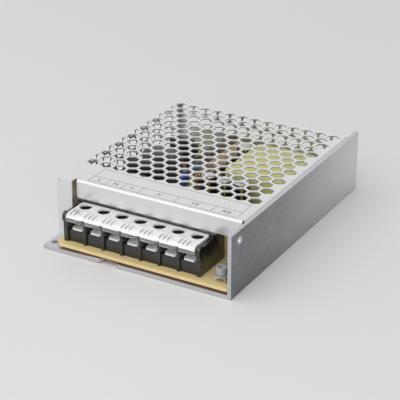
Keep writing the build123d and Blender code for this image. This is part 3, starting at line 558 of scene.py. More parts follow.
class Bench:
    """The moves that every new piece is made with."""

    @staticmethod
    def clear() -> None:
        """Deselects every object."""
        bpy.ops.object.select_all(action="DESELECT")

    @staticmethod
    def pick(*pieces: Piece) -> None:
        """Selects only some pieces.

        Args:
            pieces: What is selected. The first one becomes active.
        """
        Bench.clear()
        for piece in pieces:
            piece.select_set(True)
        bpy.context.view_layer.objects.active = pieces[0]

    @staticmethod
    def settle(piece: Piece, name: str) -> Piece:
        """Names a piece and puts its place into its mesh.

        Args:
            piece: The piece as modelled.
            name: Its name from now on.

        Returns:
            The same piece, with its object at the origin.
        """
        Bench.pick(piece)
        bpy.ops.object.transform_apply(location=True, rotation=True, scale=True)
        piece.name = name
        piece.data.name = name
        return piece

    @staticmethod
    def turned(
        name: str, profile: list[Pair], base: Vector, turn: Point = UPRIGHT, sides: int = 48
    ) -> Piece:
        """A round piece, drawn up ring by ring from a filled circle.

        Args:
            name: The piece's name.
            profile: Radius and height of each ring in millimetres, from the base up.
            base: Centre of the base, in metres.
            turn: Rotation about X, Y and Z in radians, given to the upright piece.
            sides: How many sides the circle has.

        Returns:
            The settled piece, smooth where it is round.
        """
        Bench.clear()
        last, level = profile[0]
        bpy.ops.mesh.primitive_circle_add(
            vertices=sides, radius=last * MM, fill_type="NGON", location=(0.0, 0.0, level * MM)
        )
        piece = bpy.context.active_object
        bpy.ops.object.mode_set(mode="EDIT")
        bpy.ops.mesh.select_mode(type="FACE")
        bpy.ops.mesh.select_all(action="SELECT")
        for radius, height in profile[1:]:
            bpy.ops.mesh.extrude_region_move(
                TRANSFORM_OT_translate={"value": (0.0, 0.0, (height - level) * MM)}
            )
            share = radius / last
            bpy.ops.transform.resize(value=(share, share, 1.0), center_override=(0.0, 0.0, 0.0))
            last, level = radius, height
        bpy.ops.mesh.select_all(action="SELECT")
        bpy.ops.mesh.normals_make_consistent(inside=False)
        bpy.ops.object.mode_set(mode="OBJECT")
        piece.rotation_euler = turn
        piece.location = base
        Bench.settle(piece, name)
        bpy.ops.object.shade_smooth_by_angle(angle=SMOOTH_ANGLE)
        return piece

    @staticmethod
    def block(name: str, low: Vector, high: Vector, edge: float = 0.0, turn: float = 0.0) -> Piece:
        """A box between two corners.

        Args:
            name: The piece's name.
            low: Lowest corner in metres.
            high: Highest corner in metres.
            edge: Width of its edges' bevel in millimetres, or 0 for sharp ones.
            turn: Angle about the box's own upright middle line, in radians.

        Returns:
            The settled piece.
        """
        Bench.clear()
        bpy.ops.mesh.primitive_cube_add(size=1.0, location=(low + high) / 2)
        piece = bpy.context.active_object
        piece.scale = high - low
        piece.rotation_euler = (0.0, 0.0, turn)
        Bench.settle(piece, name)
        if edge:
            Bench.soften(piece, edge)
        return piece

    @staticmethod
    def soften(piece: Piece, edge: float) -> None:
        """Bevels a piece's sharp edges.

        Args:
            piece: The piece.
            edge: Width of the bevel in millimetres.
        """
        Bench.pick(piece)
        bevel = piece.modifiers.new("soft_edge", "BEVEL")
        bevel.width = edge * MM
        bevel.segments = BEVEL_FACES
        bevel.limit_method = "ANGLE"
        bevel.angle_limit = SHARP_ANGLE
        bpy.ops.object.modifier_apply(modifier=bevel.name)
        bpy.ops.object.shade_smooth_by_angle(angle=SMOOTH_ANGLE)

    @staticmethod
    def cut(piece: Piece, *cutters: Piece) -> None:
        """Cuts pieces out of another one and deletes them.

        Args:
            piece: What is cut.
            cutters: What is taken away.
        """
        for cutter in cutters:
            Bench.pick(piece)
            taken = piece.modifiers.new("cut", "BOOLEAN")
            taken.operation = "DIFFERENCE"
            taken.object = cutter
            taken.solver = "EXACT"
            bpy.ops.object.modifier_apply(modifier=taken.name)
            bpy.data.objects.remove(cutter)

    @staticmethod
    def join(name: str, pieces: list[Piece]) -> Piece:
        """Makes one piece of several.

        Args:
            name: The joined piece's name.
            pieces: The pieces, each with its own finish.

        Returns:
            The joined piece.
        """
        Bench.pick(*pieces)
        bpy.ops.object.join()
        return Bench.settle(bpy.context.active_object, name)

    @staticmethod
    def copy(piece: Piece, name: str, shift: Vector) -> Piece:
        """A copy with its own mesh, moved over.

        Args:
            piece: The piece to copy.
            name: The copy's name.
            shift: How far it is moved, in metres.

        Returns:
            The settled copy.
        """
        Bench.pick(piece)
        bpy.ops.object.duplicate(linked=False)
        made = bpy.context.active_object
        made.location = shift
        return Bench.settle(made, name)

    @staticmethod
    def node_copy(node: str, name: str, edge: float) -> Piece:
        """A copy of a CAD node with its triangles merged and its edges softened.

        Args:
            node: The CAD node.
            name: The copy's name.
            edge: Width of the bevel in millimetres.

        Returns:
            The softened copy, which still has to ride on a body.
        """
        made = bpy.data.objects.new(name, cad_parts[node].data.copy())
        bpy.context.scene.collection.objects.link(made)
        Bench.pick(made)
        bpy.ops.object.mode_set(mode="EDIT")
        bpy.ops.mesh.select_mode(type="VERT")
        bpy.ops.mesh.select_all(action="SELECT")
        bpy.ops.mesh.remove_doubles(threshold=MERGE_REACH)
        bpy.ops.mesh.dissolve_limited(angle_limit=FLAT_ANGLE)
        bpy.ops.object.mode_set(mode="OBJECT")
        Bench.settle(made, name)
        Bench.soften(made, edge)
        return made


def seat(piece: Piece, body: str, slot: str, *nodes: str) -> None:
    """Rides a piece on its body, hides the CAD nodes that it replaces, and logs the body.

    Args:
        piece: The finished piece.
        body: The CAD body that it moves with.
        slot: Not used.
        nodes: CAD nodes that it replaces.
    """
    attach(piece, body)
    if nodes:
        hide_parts(*nodes)
    log.info("%s rides on %s", piece.name, body)


def show_soft(node: str, name: str, edge: float, body: str, slot: str, finish: Finish) -> None:
    """Shows a CAD node as a copy with bevelled edges, under a name of its own."""
    seat(dress(Bench.node_copy(node, name, edge), finish), body, slot, node)


# Fasteners


@dataclass(frozen=True)
class CrossScrew:
    """A pan-headed screw with a cross recess and a threaded shank.

    The head's rings are insets from its radius, with shares of its height.
    """

    thread: float
    recess: Point
    groove: float = 0.22
    pitch: float = 0.6
    lead_in: float = 0.35
    tip: float = 0.3
    run_out: float = 0.2
    neck: float = 0.1
    head_edge: float = 0.15
    head_rings: tuple[Pair, ...] = ((0.0, 0.5), (0.25, 0.78), (0.8, 0.95), (1.7, 1.0))
    overshoot: float = 1.0

    def make(self, name: str, low: Vector, high: Vector, seat_level: float) -> Piece:
        """Makes the screw in a box.

        Args:
            name: The screw's name.
            low: Lowest corner of the screw's box, in metres.
            high: Highest corner of the screw's box, in metres.
            seat_level: Height of the head's underside, in metres.

        Returns:
            The dressed screw, in place.
        """
        radius = (high.x - low.x) / 2 / MM
        head = (high.z - seat_level) / MM
        shank = (seat_level - low.z) / MM
        profile = [(self.thread - self.tip, 0.0), (self.thread, self.lead_in)]
        level = self.lead_in
        while level + self.pitch < shank - self.run_out:
            profile += [
                (self.thread - self.groove, level + self.pitch / 2),
                (self.thread, level + self.pitch),
            ]
            level += self.pitch
        profile += [
            (self.thread - self.neck, shank), (radius - self.head_edge, shank),
            (radius, shank + self.head_edge),
        ]
        profile += [(radius - inset, shank + head * share) for inset, share in self.head_rings]
        top = (low + high) / 2
        screw = Bench.turned(name, profile, Vector((top.x, top.y, low.z)))
        top.z = high.z
        length, width, depth = self.recess
        under, over = mm(0, 0, depth), mm(0, 0, self.overshoot)
        for half in (mm(length, width, 0) / 2, mm(width, length, 0) / 2):
            Bench.cut(screw, Bench.block("recess", top - half - under, top + half + over))
        return dress(screw, PLATED)


# Case


@dataclass
class Casework:
    """The bent base, the folded cover, and the legends printed on the cover.

    Places on the label are measured from the case's left side and front edge.
    """

    base_edge: float = 0.12
    wall_zone: float = 2.2
    flat_facing: float = 0.7
    print_height: float = 0.03
    curve_steps: int = 4
    line_width: float = 0.16
    label_left: float = 13.9
    label_right: float = 90.0
    label_front: float = 17.4
    label_split: float = 23.1
    label_rear: float = 31.0
    cells: tuple[float, ...] = (22.7, 31.1, 40.0, 58.6, 77.2)
    legends: tuple[tuple[str, float, float], ...] = (
        ("L", 18.3, 3.4), ("N", 26.9, 3.4), ("-V", 49.3, 3.4), ("+V", 67.9, 3.4),
        ("ADJ", 83.6, 2.8),
    )
    earth_side: float = 35.5
    earth_stem: float = 1.4
    earth_bars: Point = (1.3, 0.8, 0.35)
    earth_step: float = 0.55
    parts: list[Piece] = field(default_factory=list)

    def build(self) -> None:
        """Dresses the sheet parts and prints the legends."""
        base = Bench.node_copy("base_chassis", "bent_base", self.base_edge)
        # The right wall's outer face takes the wall sheet with its painted reflection.
        wall = CAD_BOX[1][0] - self.wall_zone * MM
        dress_by_face(
            base,
            lambda face: int(face.center.x > wall and abs(face.normal.x) > self.flat_facing),
            BARE_SHEET, WALL_SHEET_PAINTED_REFLECTION,
        )
        seat(base, CASE, "bare_aluminium", "base_chassis")
        dress(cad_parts["top_cover"], COVER_SHEET)
        self._frame_lines()
        self._letters()
        self._earth_sign()
        seat(Bench.join("terminal_legends", self.parts), CASE, "perforated_sheet")

    def _spot(self, side: float, back: float) -> Vector:
        """A point on top of the cover."""
        low, high = CAD_BOX
        return Vector((low[0] + side * MM, low[1] + back * MM, high[2]))

    def _stroke(self, start: Pair, end: Pair) -> None:
        """Adds a printed line.

        Args:
            start: The side and back of its lower end.
            end: The side and back of its higher end.
        """
        half = self.line_width / 2
        low = self._spot(start[0] - half, start[1] - half)
        high = self._spot(end[0] + half, end[1] + half) + mm(0, 0, self.print_height)
        self.parts.append(dress(Bench.block("stroke", low, high), PRINT))

    def _frame_lines(self) -> None:
        """Adds the label's outline and the lines between its cells."""
        left, right = self.label_left, self.label_right
        for back in (self.label_front, self.label_split, self.label_rear):
            self._stroke((left, back), (right, back))
        for side in (left, right):
            self._stroke((side, self.label_front), (side, self.label_rear))
        for side in self.cells:
            self._stroke((side, self.label_front), (side, self.label_split))

    def _letters(self) -> None:
        """Adds the letters over the terminals."""
        row = (self.label_front + self.label_split) / 2
        for words, side, size in self.legends:
            Bench.clear()
            bpy.ops.object.text_add()
            text = bpy.context.active_object.data
            text.body = words
            text.size = size * MM
            text.align_x = "CENTER"
            text.align_y = "CENTER"
            text.extrude = self.print_height / 2 * MM
            text.resolution_u = self.curve_steps
            bpy.ops.object.convert(target="MESH")
            letters = bpy.context.active_object
            letters.location = self._spot(side, row) + mm(0, 0, self.print_height / 2)
            self.parts.append(dress(Bench.settle(letters, "letters"), PRINT))

    def _earth_sign(self) -> None:
        """Adds the earth sign: a stem over three bars, each shorter than the last."""
        row = (self.label_front + self.label_split) / 2
        side = self.earth_side
        self._stroke((side, row), (side, row + self.earth_stem))
        for number, half in enumerate(self.earth_bars):
            back = row - number * self.earth_step
            self._stroke((side - half, back), (side + half, back))


# Terminals


@dataclass
class Terminals:
    """The terminal block with its contacts, clamps, screws and clear flap."""

    ways: int = 7
    block_edge: float = 0.25
    contact_edge: float = 0.12
    flap_edge: float = 0.18
    skirt_start: float = 1.9
    screw: CrossScrew = CrossScrew(1.55, (3.9, 0.8, 1.1))

    def build(self) -> None:
        """Makes and dresses every piece of the block."""
        show_soft(
            "terminal_block", "terminal_housing", self.block_edge, CASE, "black_moulding",
            BLACK_MOULDING,
        )
        self._flap()
        start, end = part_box("terminal_screw_1")
        first = self.screw.make("screw_pattern", start, end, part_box("clamp_washer_1")[1].z)
        for way in range(1, self.ways + 1):
            show_soft(
                f"terminal_contact_{way}", f"contact_plate_{way}", self.contact_edge, CASE,
                "tinned_brass", TINNED,
            )
            show_soft(
                f"clamp_washer_{way}", f"clamp_plate_{way}", self.contact_edge, f"clamp_{way}",
                "plated_steel", PLATED,
            )
            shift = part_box(f"terminal_screw_{way}")[0] - start
            screw = Bench.copy(first, f"clamp_screw_{way}", shift)
            seat(screw, f"screw_{way}", "plated_steel", f"terminal_screw_{way}")
        bpy.data.objects.remove(first)

    def _flap(self) -> None:
        """Makes the flap, with a milky top that carries painted shade bands, and a clear skirt."""
        flap = Bench.node_copy("terminal_cover", "clear_flap", self.flap_edge)
        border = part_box("terminal_cover")[1].z - self.skirt_start * MM
        Bench.pick(flap)
        bpy.ops.object.mode_set(mode="EDIT")
        bpy.ops.mesh.select_all(action="SELECT")
        bpy.ops.mesh.bisect(plane_co=(0.0, 0.0, border), plane_no=(0.0, 0.0, 1.0))
        bpy.ops.object.mode_set(mode="OBJECT")
        dress_by_face(
            flap, lambda face: int(face.center.z < border), MILKY_MOULDING_PAINTED_SHADE, CLEAR_MOULDING
        )
        seat(flap, "terminal_flap", "clear_moulding", "terminal_cover")


# Board and its parts


@dataclass(frozen=True)
class BoardSheets:
    """The board, and the parts on it that keep their CAD form."""

    plain: tuple[tuple[str, Finish], ...] = (
        ("circuit_board", LAMINATE), ("insulating_film", FILM), ("insulating_pads", PAD),
    )
    softened: tuple[tuple[str, str, float, str, Finish], ...] = (
        ("transformer_coil", "taped_coil", 0.5, "yellow_tape", TAPE),
        ("transformer_core", "ferrite_core", 0.2, "ferrite", FERRITE),
        ("transformer_bobbin", "coil_foot", 0.3, "black_moulding", BLACK_MOULDING),
        ("choke_core", "choke_frame", 0.4, "ferrite", FERRITE),
        ("line_capacitor", "film_capacitor_box", 0.35, "amber_box", GREY_BOX),
        ("bridge_rectifier", "bridge_body", 0.2, "dark_epoxy", DARK_EPOXY),
        ("device_clips", "spring_clips", 0.12, "plated_steel", PLATED),
        ("optical_coupler", "coupler_body", 0.12, "white_moulding", WHITE_MOULDING),
    )

    def build(self) -> None:
        """Dresses the plain nodes and shows the others softened."""
        for node, finish in self.plain:
            dress(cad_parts[node], finish)
        for node, name, edge, slot, finish in self.softened:
            show_soft(node, name, edge, CASE, slot, finish)


@dataclass(frozen=True)
class PowerDevice:
    """A moulded power device with a bare metal tab and leads."""

    node: str
    edge: float = 0.15
    tab_depth: float = 1.31
    lead_rise: float = 3.99
    tab_rise: float = 4.61

    def build(self) -> None:
        """Shows the device softened, bare where it isn't moulded."""
        span = Span.of(self.node)
        tab = span.high.x - self.tab_depth * MM
        bottom = span.low.z + self.lead_rise * MM
        top = span.high.z - self.tab_rise * MM
        device = Bench.node_copy(self.node, f"{self.node}_body", self.edge)
        dress_by_face(
            device,
            lambda face: int(face.center.x > tab or not bottom <= face.center.z <= top),
            DARK_EPOXY, TINNED,
        )
        seat(device, CASE, "dark_epoxy", self.node)


@dataclass(frozen=True)
class UndersidePaintedShade:
    """A thin dark orange sheet under the front of the board: painted shade in the gap over the
    base, where the board's underside is.
    """

    left_inset: float = 6.0
    right_inset: float = 0.15
    front_inset: float = 0.05
    reach: float = 26.0
    thickness: float = 0.12

    def build(self) -> None:
        """Lays the painted shade as one thin sheet."""
        low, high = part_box("circuit_board")
        start = low + mm(self.left_inset, self.front_inset, -self.thickness)
        end = Vector((high.x - self.right_inset * MM, low.y + self.reach * MM, low.z))
        seat(dress(Bench.block("underside_painted_shade", start, end), UNDERSIDE_PAINTED_SHADE), CASE, "laminate")


@dataclass(frozen=True)
class BoardScrews:
    """The four screws that hold the board."""

    head_radius: float = 2.6
    screw: CrossScrew = CrossScrew(1.2, (3.2, 0.7, 0.9), groove=0.12, pitch=0.5)

    def build(self) -> None:
        """Makes the first screw and copies it to the other corners."""
        low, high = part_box("board_screws")
        head = mm(self.head_radius, self.head_radius, 0) * 2
        shift = high - low - head
        first = self.screw.make(
            "board_screw", low, Vector((low.x + head.x, low.y + head.y, high.z)),
            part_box("circuit_board")[1].z,
        )
        pieces = [first]
        for side, back in ((1, 0), (0, 1), (1, 1)):
            move = Vector((shift.x * side, shift.y * back, 0.0))
            pieces.append(Bench.copy(first, "board_screw", move))
        seat(Bench.join("board_fixings", pieces), CASE, "plated_steel", "board_screws")


@dataclass(frozen=True)
class Trimmer:
    """The trimmer's plate on its legs, and the cup that turns in it.

    Each part of a leg is its half sizes, then its lower and upper end over the board.
    """

    plate_thickness: float = 1.0
    plate_edge: float = 0.15
    plate_foot: float = 0.2
    plate_sides: int = 12
    bore: float = 1.27
    leg_angles: Point = (90.0, 210.0, 330.0)
    leg_inset: float = 0.6
    leg_edge: float = 0.1
    leg_parts: tuple[tuple[float, ...], ...] = ((0.5, 0.9, 1.1, 2.3), (0.3, 0.5, 0.0, 1.1))
    cup: tuple[Pair, ...] = (
        (1.0, 0.0), (1.15, 0.15), (1.15, 1.1), (2.2, 1.1), (2.5, 1.35), (2.5, 4.2),
        (2.35, 4.4), (2.2, 4.5), (1.75, 4.5), (1.6, 4.42), (1.5, 3.7), (0.6, 3.65),
    )
    slot: Point = (1.2, 0.3, 0.5)

    def build(self) -> None:
        """Makes the plate and the cup."""
        span = Span.of("trimmer_body")
        radius, thick, edge = span.radius, self.plate_thickness, self.plate_edge
        base = Vector((span.foot.x, span.foot.y, span.high.z - thick * MM))
        profile = [
            (radius - self.plate_foot, 0.0), (radius, edge), (radius, thick - edge),
            (radius - edge, thick),
        ]
        plate = Bench.turned("plate", profile, base, sides=self.plate_sides)
        bore = [(self.bore, 0.0), (self.bore, 2 * thick)]
        Bench.cut(plate, Bench.turned("bore", bore, base - mm(0, 0, thick / 2)))
        pieces = [dress(plate, GREY_MOULDING)]
        for angle in map(math.radians, self.leg_angles):
            reach = (radius - self.leg_inset) * MM
            spot = span.foot + Vector((math.cos(angle), math.sin(angle), 0.0)) * reach
            for width, depth, bottom, top in self.leg_parts:
                low, high = spot + mm(-width, -depth, bottom), spot + mm(width, depth, top)
                leg = Bench.block("leg", low, high, self.leg_edge, angle + QUARTER)
                pieces.append(dress(leg, PLATED))
        seat(Bench.join("trimmer_plate", pieces), CASE, "grey_moulding", "trimmer_body")

        foot = Vector((span.foot.x, span.foot.y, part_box("trimmer_rotor")[0].z))
        cup = Bench.turned("trimmer_cup", list(self.cup), foot)
        middle = foot + mm(0, 0, self.cup[-1][1])
        Bench.cut(cup, Bench.block("slot", middle - mm(*self.slot), middle + mm(*self.slot)))
        seat(dress(cup, GREY_MOULDING), "trimmer_knob", "grey_moulding", "trimmer_rotor")


@dataclass(frozen=True)
class SignalLamp:
    """The lamp: a domed lens with a rim, on two leads."""

    lens_level: float = 1.8
    lead_spread: float = 0.75
    lead_half: float = 0.25
    lead_edge: float = 0.05
    lens: tuple[Pair, ...] = (
        (1.45, 0.0), (1.5, 0.1), (1.5, 0.6), (1.32, 0.7), (1.32, 2.35), (1.24, 2.8),
        (1.02, 3.15), (0.68, 3.42), (0.3, 3.58),
    )

    def build(self) -> None:
        """Makes the lens and its leads."""
        foot = Span.of("power_lamp").foot
        lens = Bench.turned("lens", list(self.lens), foot + mm(0, 0, self.lens_level))
        pieces = [dress(lens, LAMP_GREEN)]
        half = self.lead_half
        for side in (-self.lead_spread, self.lead_spread):
            low, high = mm(side - half, -half, 0), mm(side + half, half, self.lens_level)
            lead = Bench.block("lead", foot + low, foot + high, self.lead_edge)
            pieces.append(dress(lead, PLATED))
        seat(Bench.join("signal_lamp", pieces), CASE, "green_lamp", "power_lamp")


@dataclass(frozen=True)
class Fuse:
    """The cartridge fuse: glass, wire, and caps held in feet."""

    tube: float = 2.48
    wire: float = 0.12
    wire_sides: int = 8
    cap: tuple[Pair, ...] = (
        (2.3, 0.0), (2.6, 0.25), (2.6, 2.3), (2.52, 2.45), (2.6, 2.6), (2.6, 5.2),
    )
    foot_half: float = 1.3
    foot_drop: float = 1.0
    foot_edge: float = 0.15

    def build(self) -> None:
        """Makes the tube with its wire, then both caps and their feet."""
        span = Span.of("fuse_tube")
        centre = span.middle
        start = Vector((span.low.x, centre.y, centre.z))
        length = span.size.x / MM
        tube = Bench.turned("tube", [(self.tube, 0.0), (self.tube, length)], start, TO_RIGHT)
        thread = [(self.wire, 0.0), (self.wire, length)]
        wire = Bench.turned("wire", thread, start, TO_RIGHT, self.wire_sides)
        pieces = [dress(tube, GLASS), dress(wire, PLATED)]
        seat(Bench.join("fuse_glass_tube", pieces), CASE, "fuse_glass", "fuse_tube")

        low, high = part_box("fuse_caps")
        reach = self.cap[-1][1]
        pieces = []
        for end, turn, near in (
            (low.x, TO_RIGHT, low.x), (high.x, TO_LEFT, high.x - reach * MM)
        ):
            cap = Bench.turned("cap", list(self.cap), Vector((end, centre.y, centre.z)), turn)
            bottom = Vector((near, centre.y, low.z)) - mm(0, self.foot_half, 0)
            top = Vector((near, centre.y, centre.z)) + mm(reach, self.foot_half, -self.foot_drop)
            foot = Bench.block("foot", bottom, top, self.foot_edge)
            pieces += [dress(cap, NICKEL), dress(foot, NICKEL)]
        seat(Bench.join("fuse_end_caps", pieces), CASE, "nickel", "fuse_caps")


@dataclass(frozen=True)
class LineChoke:
    """The filter choke's foot and its two coils, turn on turn between flanges."""

    turns: int = 13
    side_inset: float = 3.6
    core_gap: float = 0.1
    wire_inset: float = 0.25
    wire_edge: float = 0.4
    flange_edge: float = 0.1
    foot_edge: float = 0.25

    def build(self) -> None:
        """Makes the foot, then the turns on each side of the core."""
        low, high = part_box("choke_coils")
        core = Span.of("choke_core")
        base = core.low.z
        foot = Bench.block("foot", low, Vector((high.x, high.y, base)), self.foot_edge)
        pieces = [dress(foot, BLACK_MOULDING)]
        pitch = (high.z - base) / self.turns
        gap, side = self.core_gap * MM, self.side_inset * MM
        for near, far in ((low.y, core.low.y - gap), (core.high.y + gap, high.y)):
            for turn in range(self.turns):
                flange = turn in (0, self.turns - 1)
                inset = 0.0 if flange else self.wire_inset * MM
                level = base + turn * pitch
                coil = Bench.block(
                    "turn", Vector((low.x + side + inset, near + inset, level)),
                    Vector((high.x - side - inset, far - inset, level + pitch)),
                    self.flange_edge if flange else self.wire_edge,
                )
                pieces.append(dress(coil, BLACK_MOULDING if flange else DARK_WINDING))
        seat(Bench.join("filter_coils", pieces), CASE, "copper_winding", "choke_coils")


@dataclass(frozen=True)
class Can:
    """A sleeved aluminium capacitor with a rolled rim, a marked side and a scored top.

    The mark by the minus lead starts and ends at angles in degrees. On the lying reservoir can the
    mark is beige on the lit flank, so there it is partly a painted highlight. A lying can's base
    faces the rear. The groove and rim are a share of the radius with a least size, and the neck is
    a share of the length with a greatest one. The foot is an inset and a height, each shoulder
    ring an inset and a drop from the top, and the score half a width and a depth.
    """

    node: str
    name: str
    sleeve: Finish
    mark: Finish
    marked: Pair
    lying: bool = False
    foot: Pair = (0.4, 0.3)
    shoulder: tuple[Pair, ...] = ((0.0, 0.8), (0.25, 0.2), (0.5, 0.0))
    groove: Pair = (0.05, 0.25)
    neck: Pair = (0.12, 2.2)
    neck_half: float = 0.6
    rim: Pair = (0.12, 0.6)
    lip: float = 0.1
    top_drop: Pair = (0.25, 0.22)
    score: Pair = (0.09, 0.6)
    score_share: float = 0.7
    top_zone: Pair = (0.65, 0.05)

    def build(self) -> None:
        """Makes the can in its node's box."""
        span = Span.of(self.node)
        radius = span.radius
        length = (span.size.y if self.lying else span.size.z) / MM
        groove = max(radius * self.groove[0], self.groove[1])
        neck = min(self.neck[1], length * self.neck[0])
        bare = radius - max(self.rim[1], radius * self.rim[0])
        profile = [
            (radius - self.foot[0], 0.0), (radius, self.foot[1]), (radius, neck - self.neck_half),
            (radius - groove, neck), (radius, neck + self.neck_half),
            *((radius - inset, length - drop) for inset, drop in self.shoulder), (bare, length),
            (bare - self.lip, length - self.top_drop[0]), (bare / 2, length - self.top_drop[1]),
        ]
        base, turn, tip = span.foot, UPRIGHT, mm(0, 0, length)
        if self.lying:
            base = Vector((span.middle.x, span.high.y, span.middle.z))
            turn, tip = TO_FRONT, mm(0, -length, 0)
        can = Bench.turned(self.name, profile, base, turn)
        half, depth = self.score
        for across, other in ((bare * self.score_share, half), (half, bare * self.score_share)):
            reach = mm(across, depth, other) if self.lying else mm(across, other, depth)
            Bench.cut(can, Bench.block("score", base + tip - reach, base + tip + reach))

        def choose(face: Face) -> int:
            """Gives the sleeve, the bare top or the mark by the face's place.

            Args:
                face: One of the can's faces.

            Returns:
                The number of its finish.
            """
            local = face.center - base
            along, rise = (-local.y, local.z) if self.lying else (local.z, local.y)
            across = math.hypot(local.x, rise) / MM
            if along / MM > length - self.top_zone[0] and across < bare + self.top_zone[1]:
                return 1
            angle = math.degrees(math.atan2(rise, local.x))
            return 2 if self.marked[0] < angle < self.marked[1] and across > bare else 0

        dress_by_face(can, choose, self.sleeve, CAN_TOP, self.mark)
        seat(can, CASE, "dark_sleeve", self.node)


@dataclass(frozen=True)
class WoundRing:
    """The output choke: a ring core with turns of wire laid round it."""

    wire: float = 0.5
    core_slack: float = 0.8
    hole: float = 3.6
    turns: int = 22
    core_segments: tuple[int, int] = (40, 12)
    wire_segments: tuple[int, int] = (20, 6)

    def build(self) -> None:
        """Makes the core and its turns, round a level axis along Y."""
        span = Span.of("output_inductor")
        radius = span.radius
        middle = (radius + self.hole) / 2
        web = (radius - self.hole) / 2
        depth = span.size.y / MM / 2
        centre = Vector((span.middle.x, span.middle.y, span.high.z - radius * MM))
        core = self._torus(middle, web - self.core_slack, self.core_segments)
        core.scale.z = (depth - self.core_slack) / (web - self.core_slack)
        core.rotation_euler.x = QUARTER
        core.location = centre
        pieces = [dress(Bench.settle(core, "ring_core"), FERRITE)]
        for number in range(self.turns):
            angle = 2 * math.pi * (number + 0.5) / self.turns
            loop = self._torus(web - self.wire, self.wire, self.wire_segments)
            loop.scale.x = (depth - self.wire) / (web - self.wire)
            loop.rotation_euler = (0.0, 0.0, QUARTER)
            bpy.ops.object.transform_apply(location=False, rotation=True, scale=True)
            loop.rotation_euler = (0.0, -angle, 0.0)
            loop.location = centre + mm(math.cos(angle), 0, math.sin(angle)) * middle
            Bench.settle(loop, "turn")
            bpy.ops.object.shade_smooth()
            pieces.append(dress(loop, GOLD_WIRE))
        seat(Bench.join("wound_ring", pieces), CASE, "copper_winding", "output_inductor")

    @staticmethod
    def _torus(major: float, minor: float, segments: tuple[int, int]) -> Piece:
        """A plain ring at the origin.

        Args:
            major: Radius of the ring's middle line.
            minor: Radius of its section.
            segments: How many faces it has round each of them.

        Returns:
            The ring, which isn't settled yet.
        """
        Bench.clear()
        bpy.ops.mesh.primitive_torus_add(
            major_segments=segments[0], minor_segments=segments[1],
            major_radius=major * MM, minor_radius=minor * MM,
        )
        return bpy.context.active_object


@dataclass(frozen=True)
class Disc:
    """A dipped disc on two leads. Its rings are shares of its radius and of its thickness."""

    node: str
    finish: Finish
    slot: str
    rings: tuple[Pair, ...] = (
        (0.35, 0.0), (0.72, 0.10), (0.93, 0.26), (1.0, 0.5), (0.93, 0.74), (0.72, 0.90),
        (0.35, 1.0),
    )
    sides: int = 40
    lead: float = 0.3
    lead_sides: int = 10
    lead_reach: float = 0.7

    def build(self) -> None:
        """Makes the disc and its leads, facing the box's narrow way."""
        span = Span.of(self.node)
        size = span.size / MM
        faces_x = size.x < size.y
        radius = max(size.x, size.y) / 2
        thick = min(size.x, size.y)
        centre = Vector((span.middle.x, span.middle.y, span.high.z - radius * MM))
        base = centre + (mm(-thick / 2, 0, 0) if faces_x else mm(0, thick / 2, 0))
        disc = Bench.turned(
            f"{self.node}_body", [(radius * a, thick * b) for a, b in self.rings], base,
            TO_RIGHT if faces_x else TO_FRONT, self.sides,
        )
        pieces = [dress(disc, self.finish)]
        rise = (centre.z - span.low.z) / MM - radius * self.lead_reach
        for offset in (-radius / 2, radius / 2):
            spot = span.foot + (mm(0, offset, 0) if faces_x else mm(offset, 0, 0))
            profile = [(self.lead, 0.0), (self.lead, rise)]
            lead = Bench.turned("lead", profile, spot, sides=self.lead_sides)
            pieces.append(dress(lead, PLATED))
        seat(Bench.join(f"dipped_{self.node}", pieces), CASE, self.slot, self.node)


# Studio


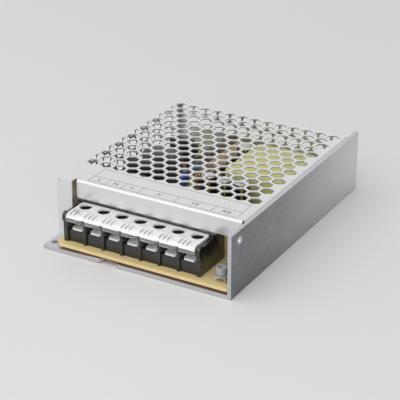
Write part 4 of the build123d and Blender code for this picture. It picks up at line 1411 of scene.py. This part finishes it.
@dataclass(frozen=True)
class Studio:
    """Camera, lamps, pale surroundings and floor.

    A lamp has a name, a place and a side in metres, and a power in watts.
    """

    focal_px: float = 1435.9
    picture_px: float = 400.0
    sensor: float = 36.0
    azimuth: float = 29.74
    elevation: float = 25.75
    stand: Point = (348.9, -467.3, 303.3)
    clip_m: Pair = (0.01, 30.0)
    floor_m: float = 6.0
    floor_drop: float = 0.2
    pale: str = "ececec"
    light_level: float = 0.55
    seen_level: float = 0.74
    aim: Point = (0.0, 0.0, 10.0)
    lamps: tuple[tuple[str, Point, float, float], ...] = (
        ("key_lamp", (-0.5, -0.9, 1.3), 2.4, 16.0),
        ("front_lamp", (0.5, -1.3, 0.95), 1.8, 8.0),
        ("back_lamp", (-0.75, 1.3, 0.75), 1.4, 1.5),
    )

    def build(self) -> None:
        """Sets up everything round the object."""
        self._camera()
        self._world()
        self._floor()
        for name, place, side, power in self.lamps:
            aim = mm(*self.aim) - Vector(place)
            bpy.ops.object.light_add(
                type="AREA", location=place, rotation=aim.to_track_quat("-Z", "Y").to_euler()
            )
            lamp = bpy.context.active_object
            lamp.name = name
            lamp.data.size = side
            lamp.data.energy = power
        bpy.context.scene.view_settings.view_transform = "Standard"

    def _camera(self) -> None:
        """Places the camera where the photograph was taken from."""
        turn = (math.radians(90.0 - self.elevation), 0.0, math.radians(self.azimuth))
        bpy.ops.object.camera_add(location=Vector(CAD_BOX[0]) + mm(*self.stand), rotation=turn)
        camera = bpy.context.active_object
        camera.name = "photo_camera"
        camera.data.sensor_width = self.sensor
        camera.data.lens = self.focal_px * self.sensor / self.picture_px
        camera.data.clip_start, camera.data.clip_end = self.clip_m
        bpy.context.scene.camera = camera

    def _world(self) -> None:
        """Pale surroundings: one level as light, and a lighter one where seen or mirrored."""
        world = bpy.data.worlds.new("studio")
        bpy.context.scene.world = world
        world.use_nodes = True
        graph = Graph(world.node_tree)
        rays = graph.add("ShaderNodeLightPath", {}).outputs
        seen = graph.reckon("MAXIMUM", rays["Is Camera Ray"], rays["Is Glossy Ray"])
        seen = graph.reckon("MAXIMUM", seen, rays["Is Transmission Ray"])
        ends = {"Value": seen, "To Min": self.light_level, "To Max": self.seen_level}
        sky = world.node_tree.nodes["Background"]
        graph.feed(sky, {"Strength": graph.map_range(ends), "Color": linear(self.pale)})

    def _floor(self) -> None:
        """A wide pale floor that keeps the object's shadow."""
        Bench.clear()
        place = mm(0, 0, -self.floor_drop)
        bpy.ops.mesh.primitive_plane_add(size=self.floor_m, location=place)
        floor = bpy.context.active_object
        dress(Bench.settle(floor, "floor"), FLOOR_PAPER)


def main() -> None:
    """Builds the studio, then each sub-assembly in order."""
    logging.basicConfig(level=logging.INFO, format="%(message)s")
    cans = [
        Can(f"upright_capacitor_{k}", f"output_can_{k}", SLEEVE, SLEEVE_STRIPE, (-66, -54))
        for k in range(1, 5)
    ]
    Bench.clear()
    for assembly in (
        Studio(), Casework(), Terminals(), BoardSheets(), PowerDevice("output_rectifier"),
        PowerDevice("switch_transistor"), UndersidePaintedShade(), BoardScrews(), Trimmer(), SignalLamp(),
        Fuse(), LineChoke(), *cans,
        # The reservoir can's beige band sits on its lit flank: a painted highlight as well as its
        # stripe.
        Can("bulk_capacitor", "reservoir_can", BROWN_SLEEVE, BROWN_STRIPE_AND_HIGHLIGHT, (22, 62), lying=True),
        WoundRing(), Disc("suppression_capacitor_1", BLUE_EPOXY, "blue_epoxy"),
        Disc("suppression_capacitor_2", BLUE_EPOXY, "blue_epoxy"),
        Disc("varistor", BLUE_EPOXY, "blue_epoxy"),
        Disc("inrush_thermistor", DARK_EPOXY, "dark_epoxy"),
    ):
        assembly.build()
    Bench.clear()


if __name__ == "__main__":
    main()
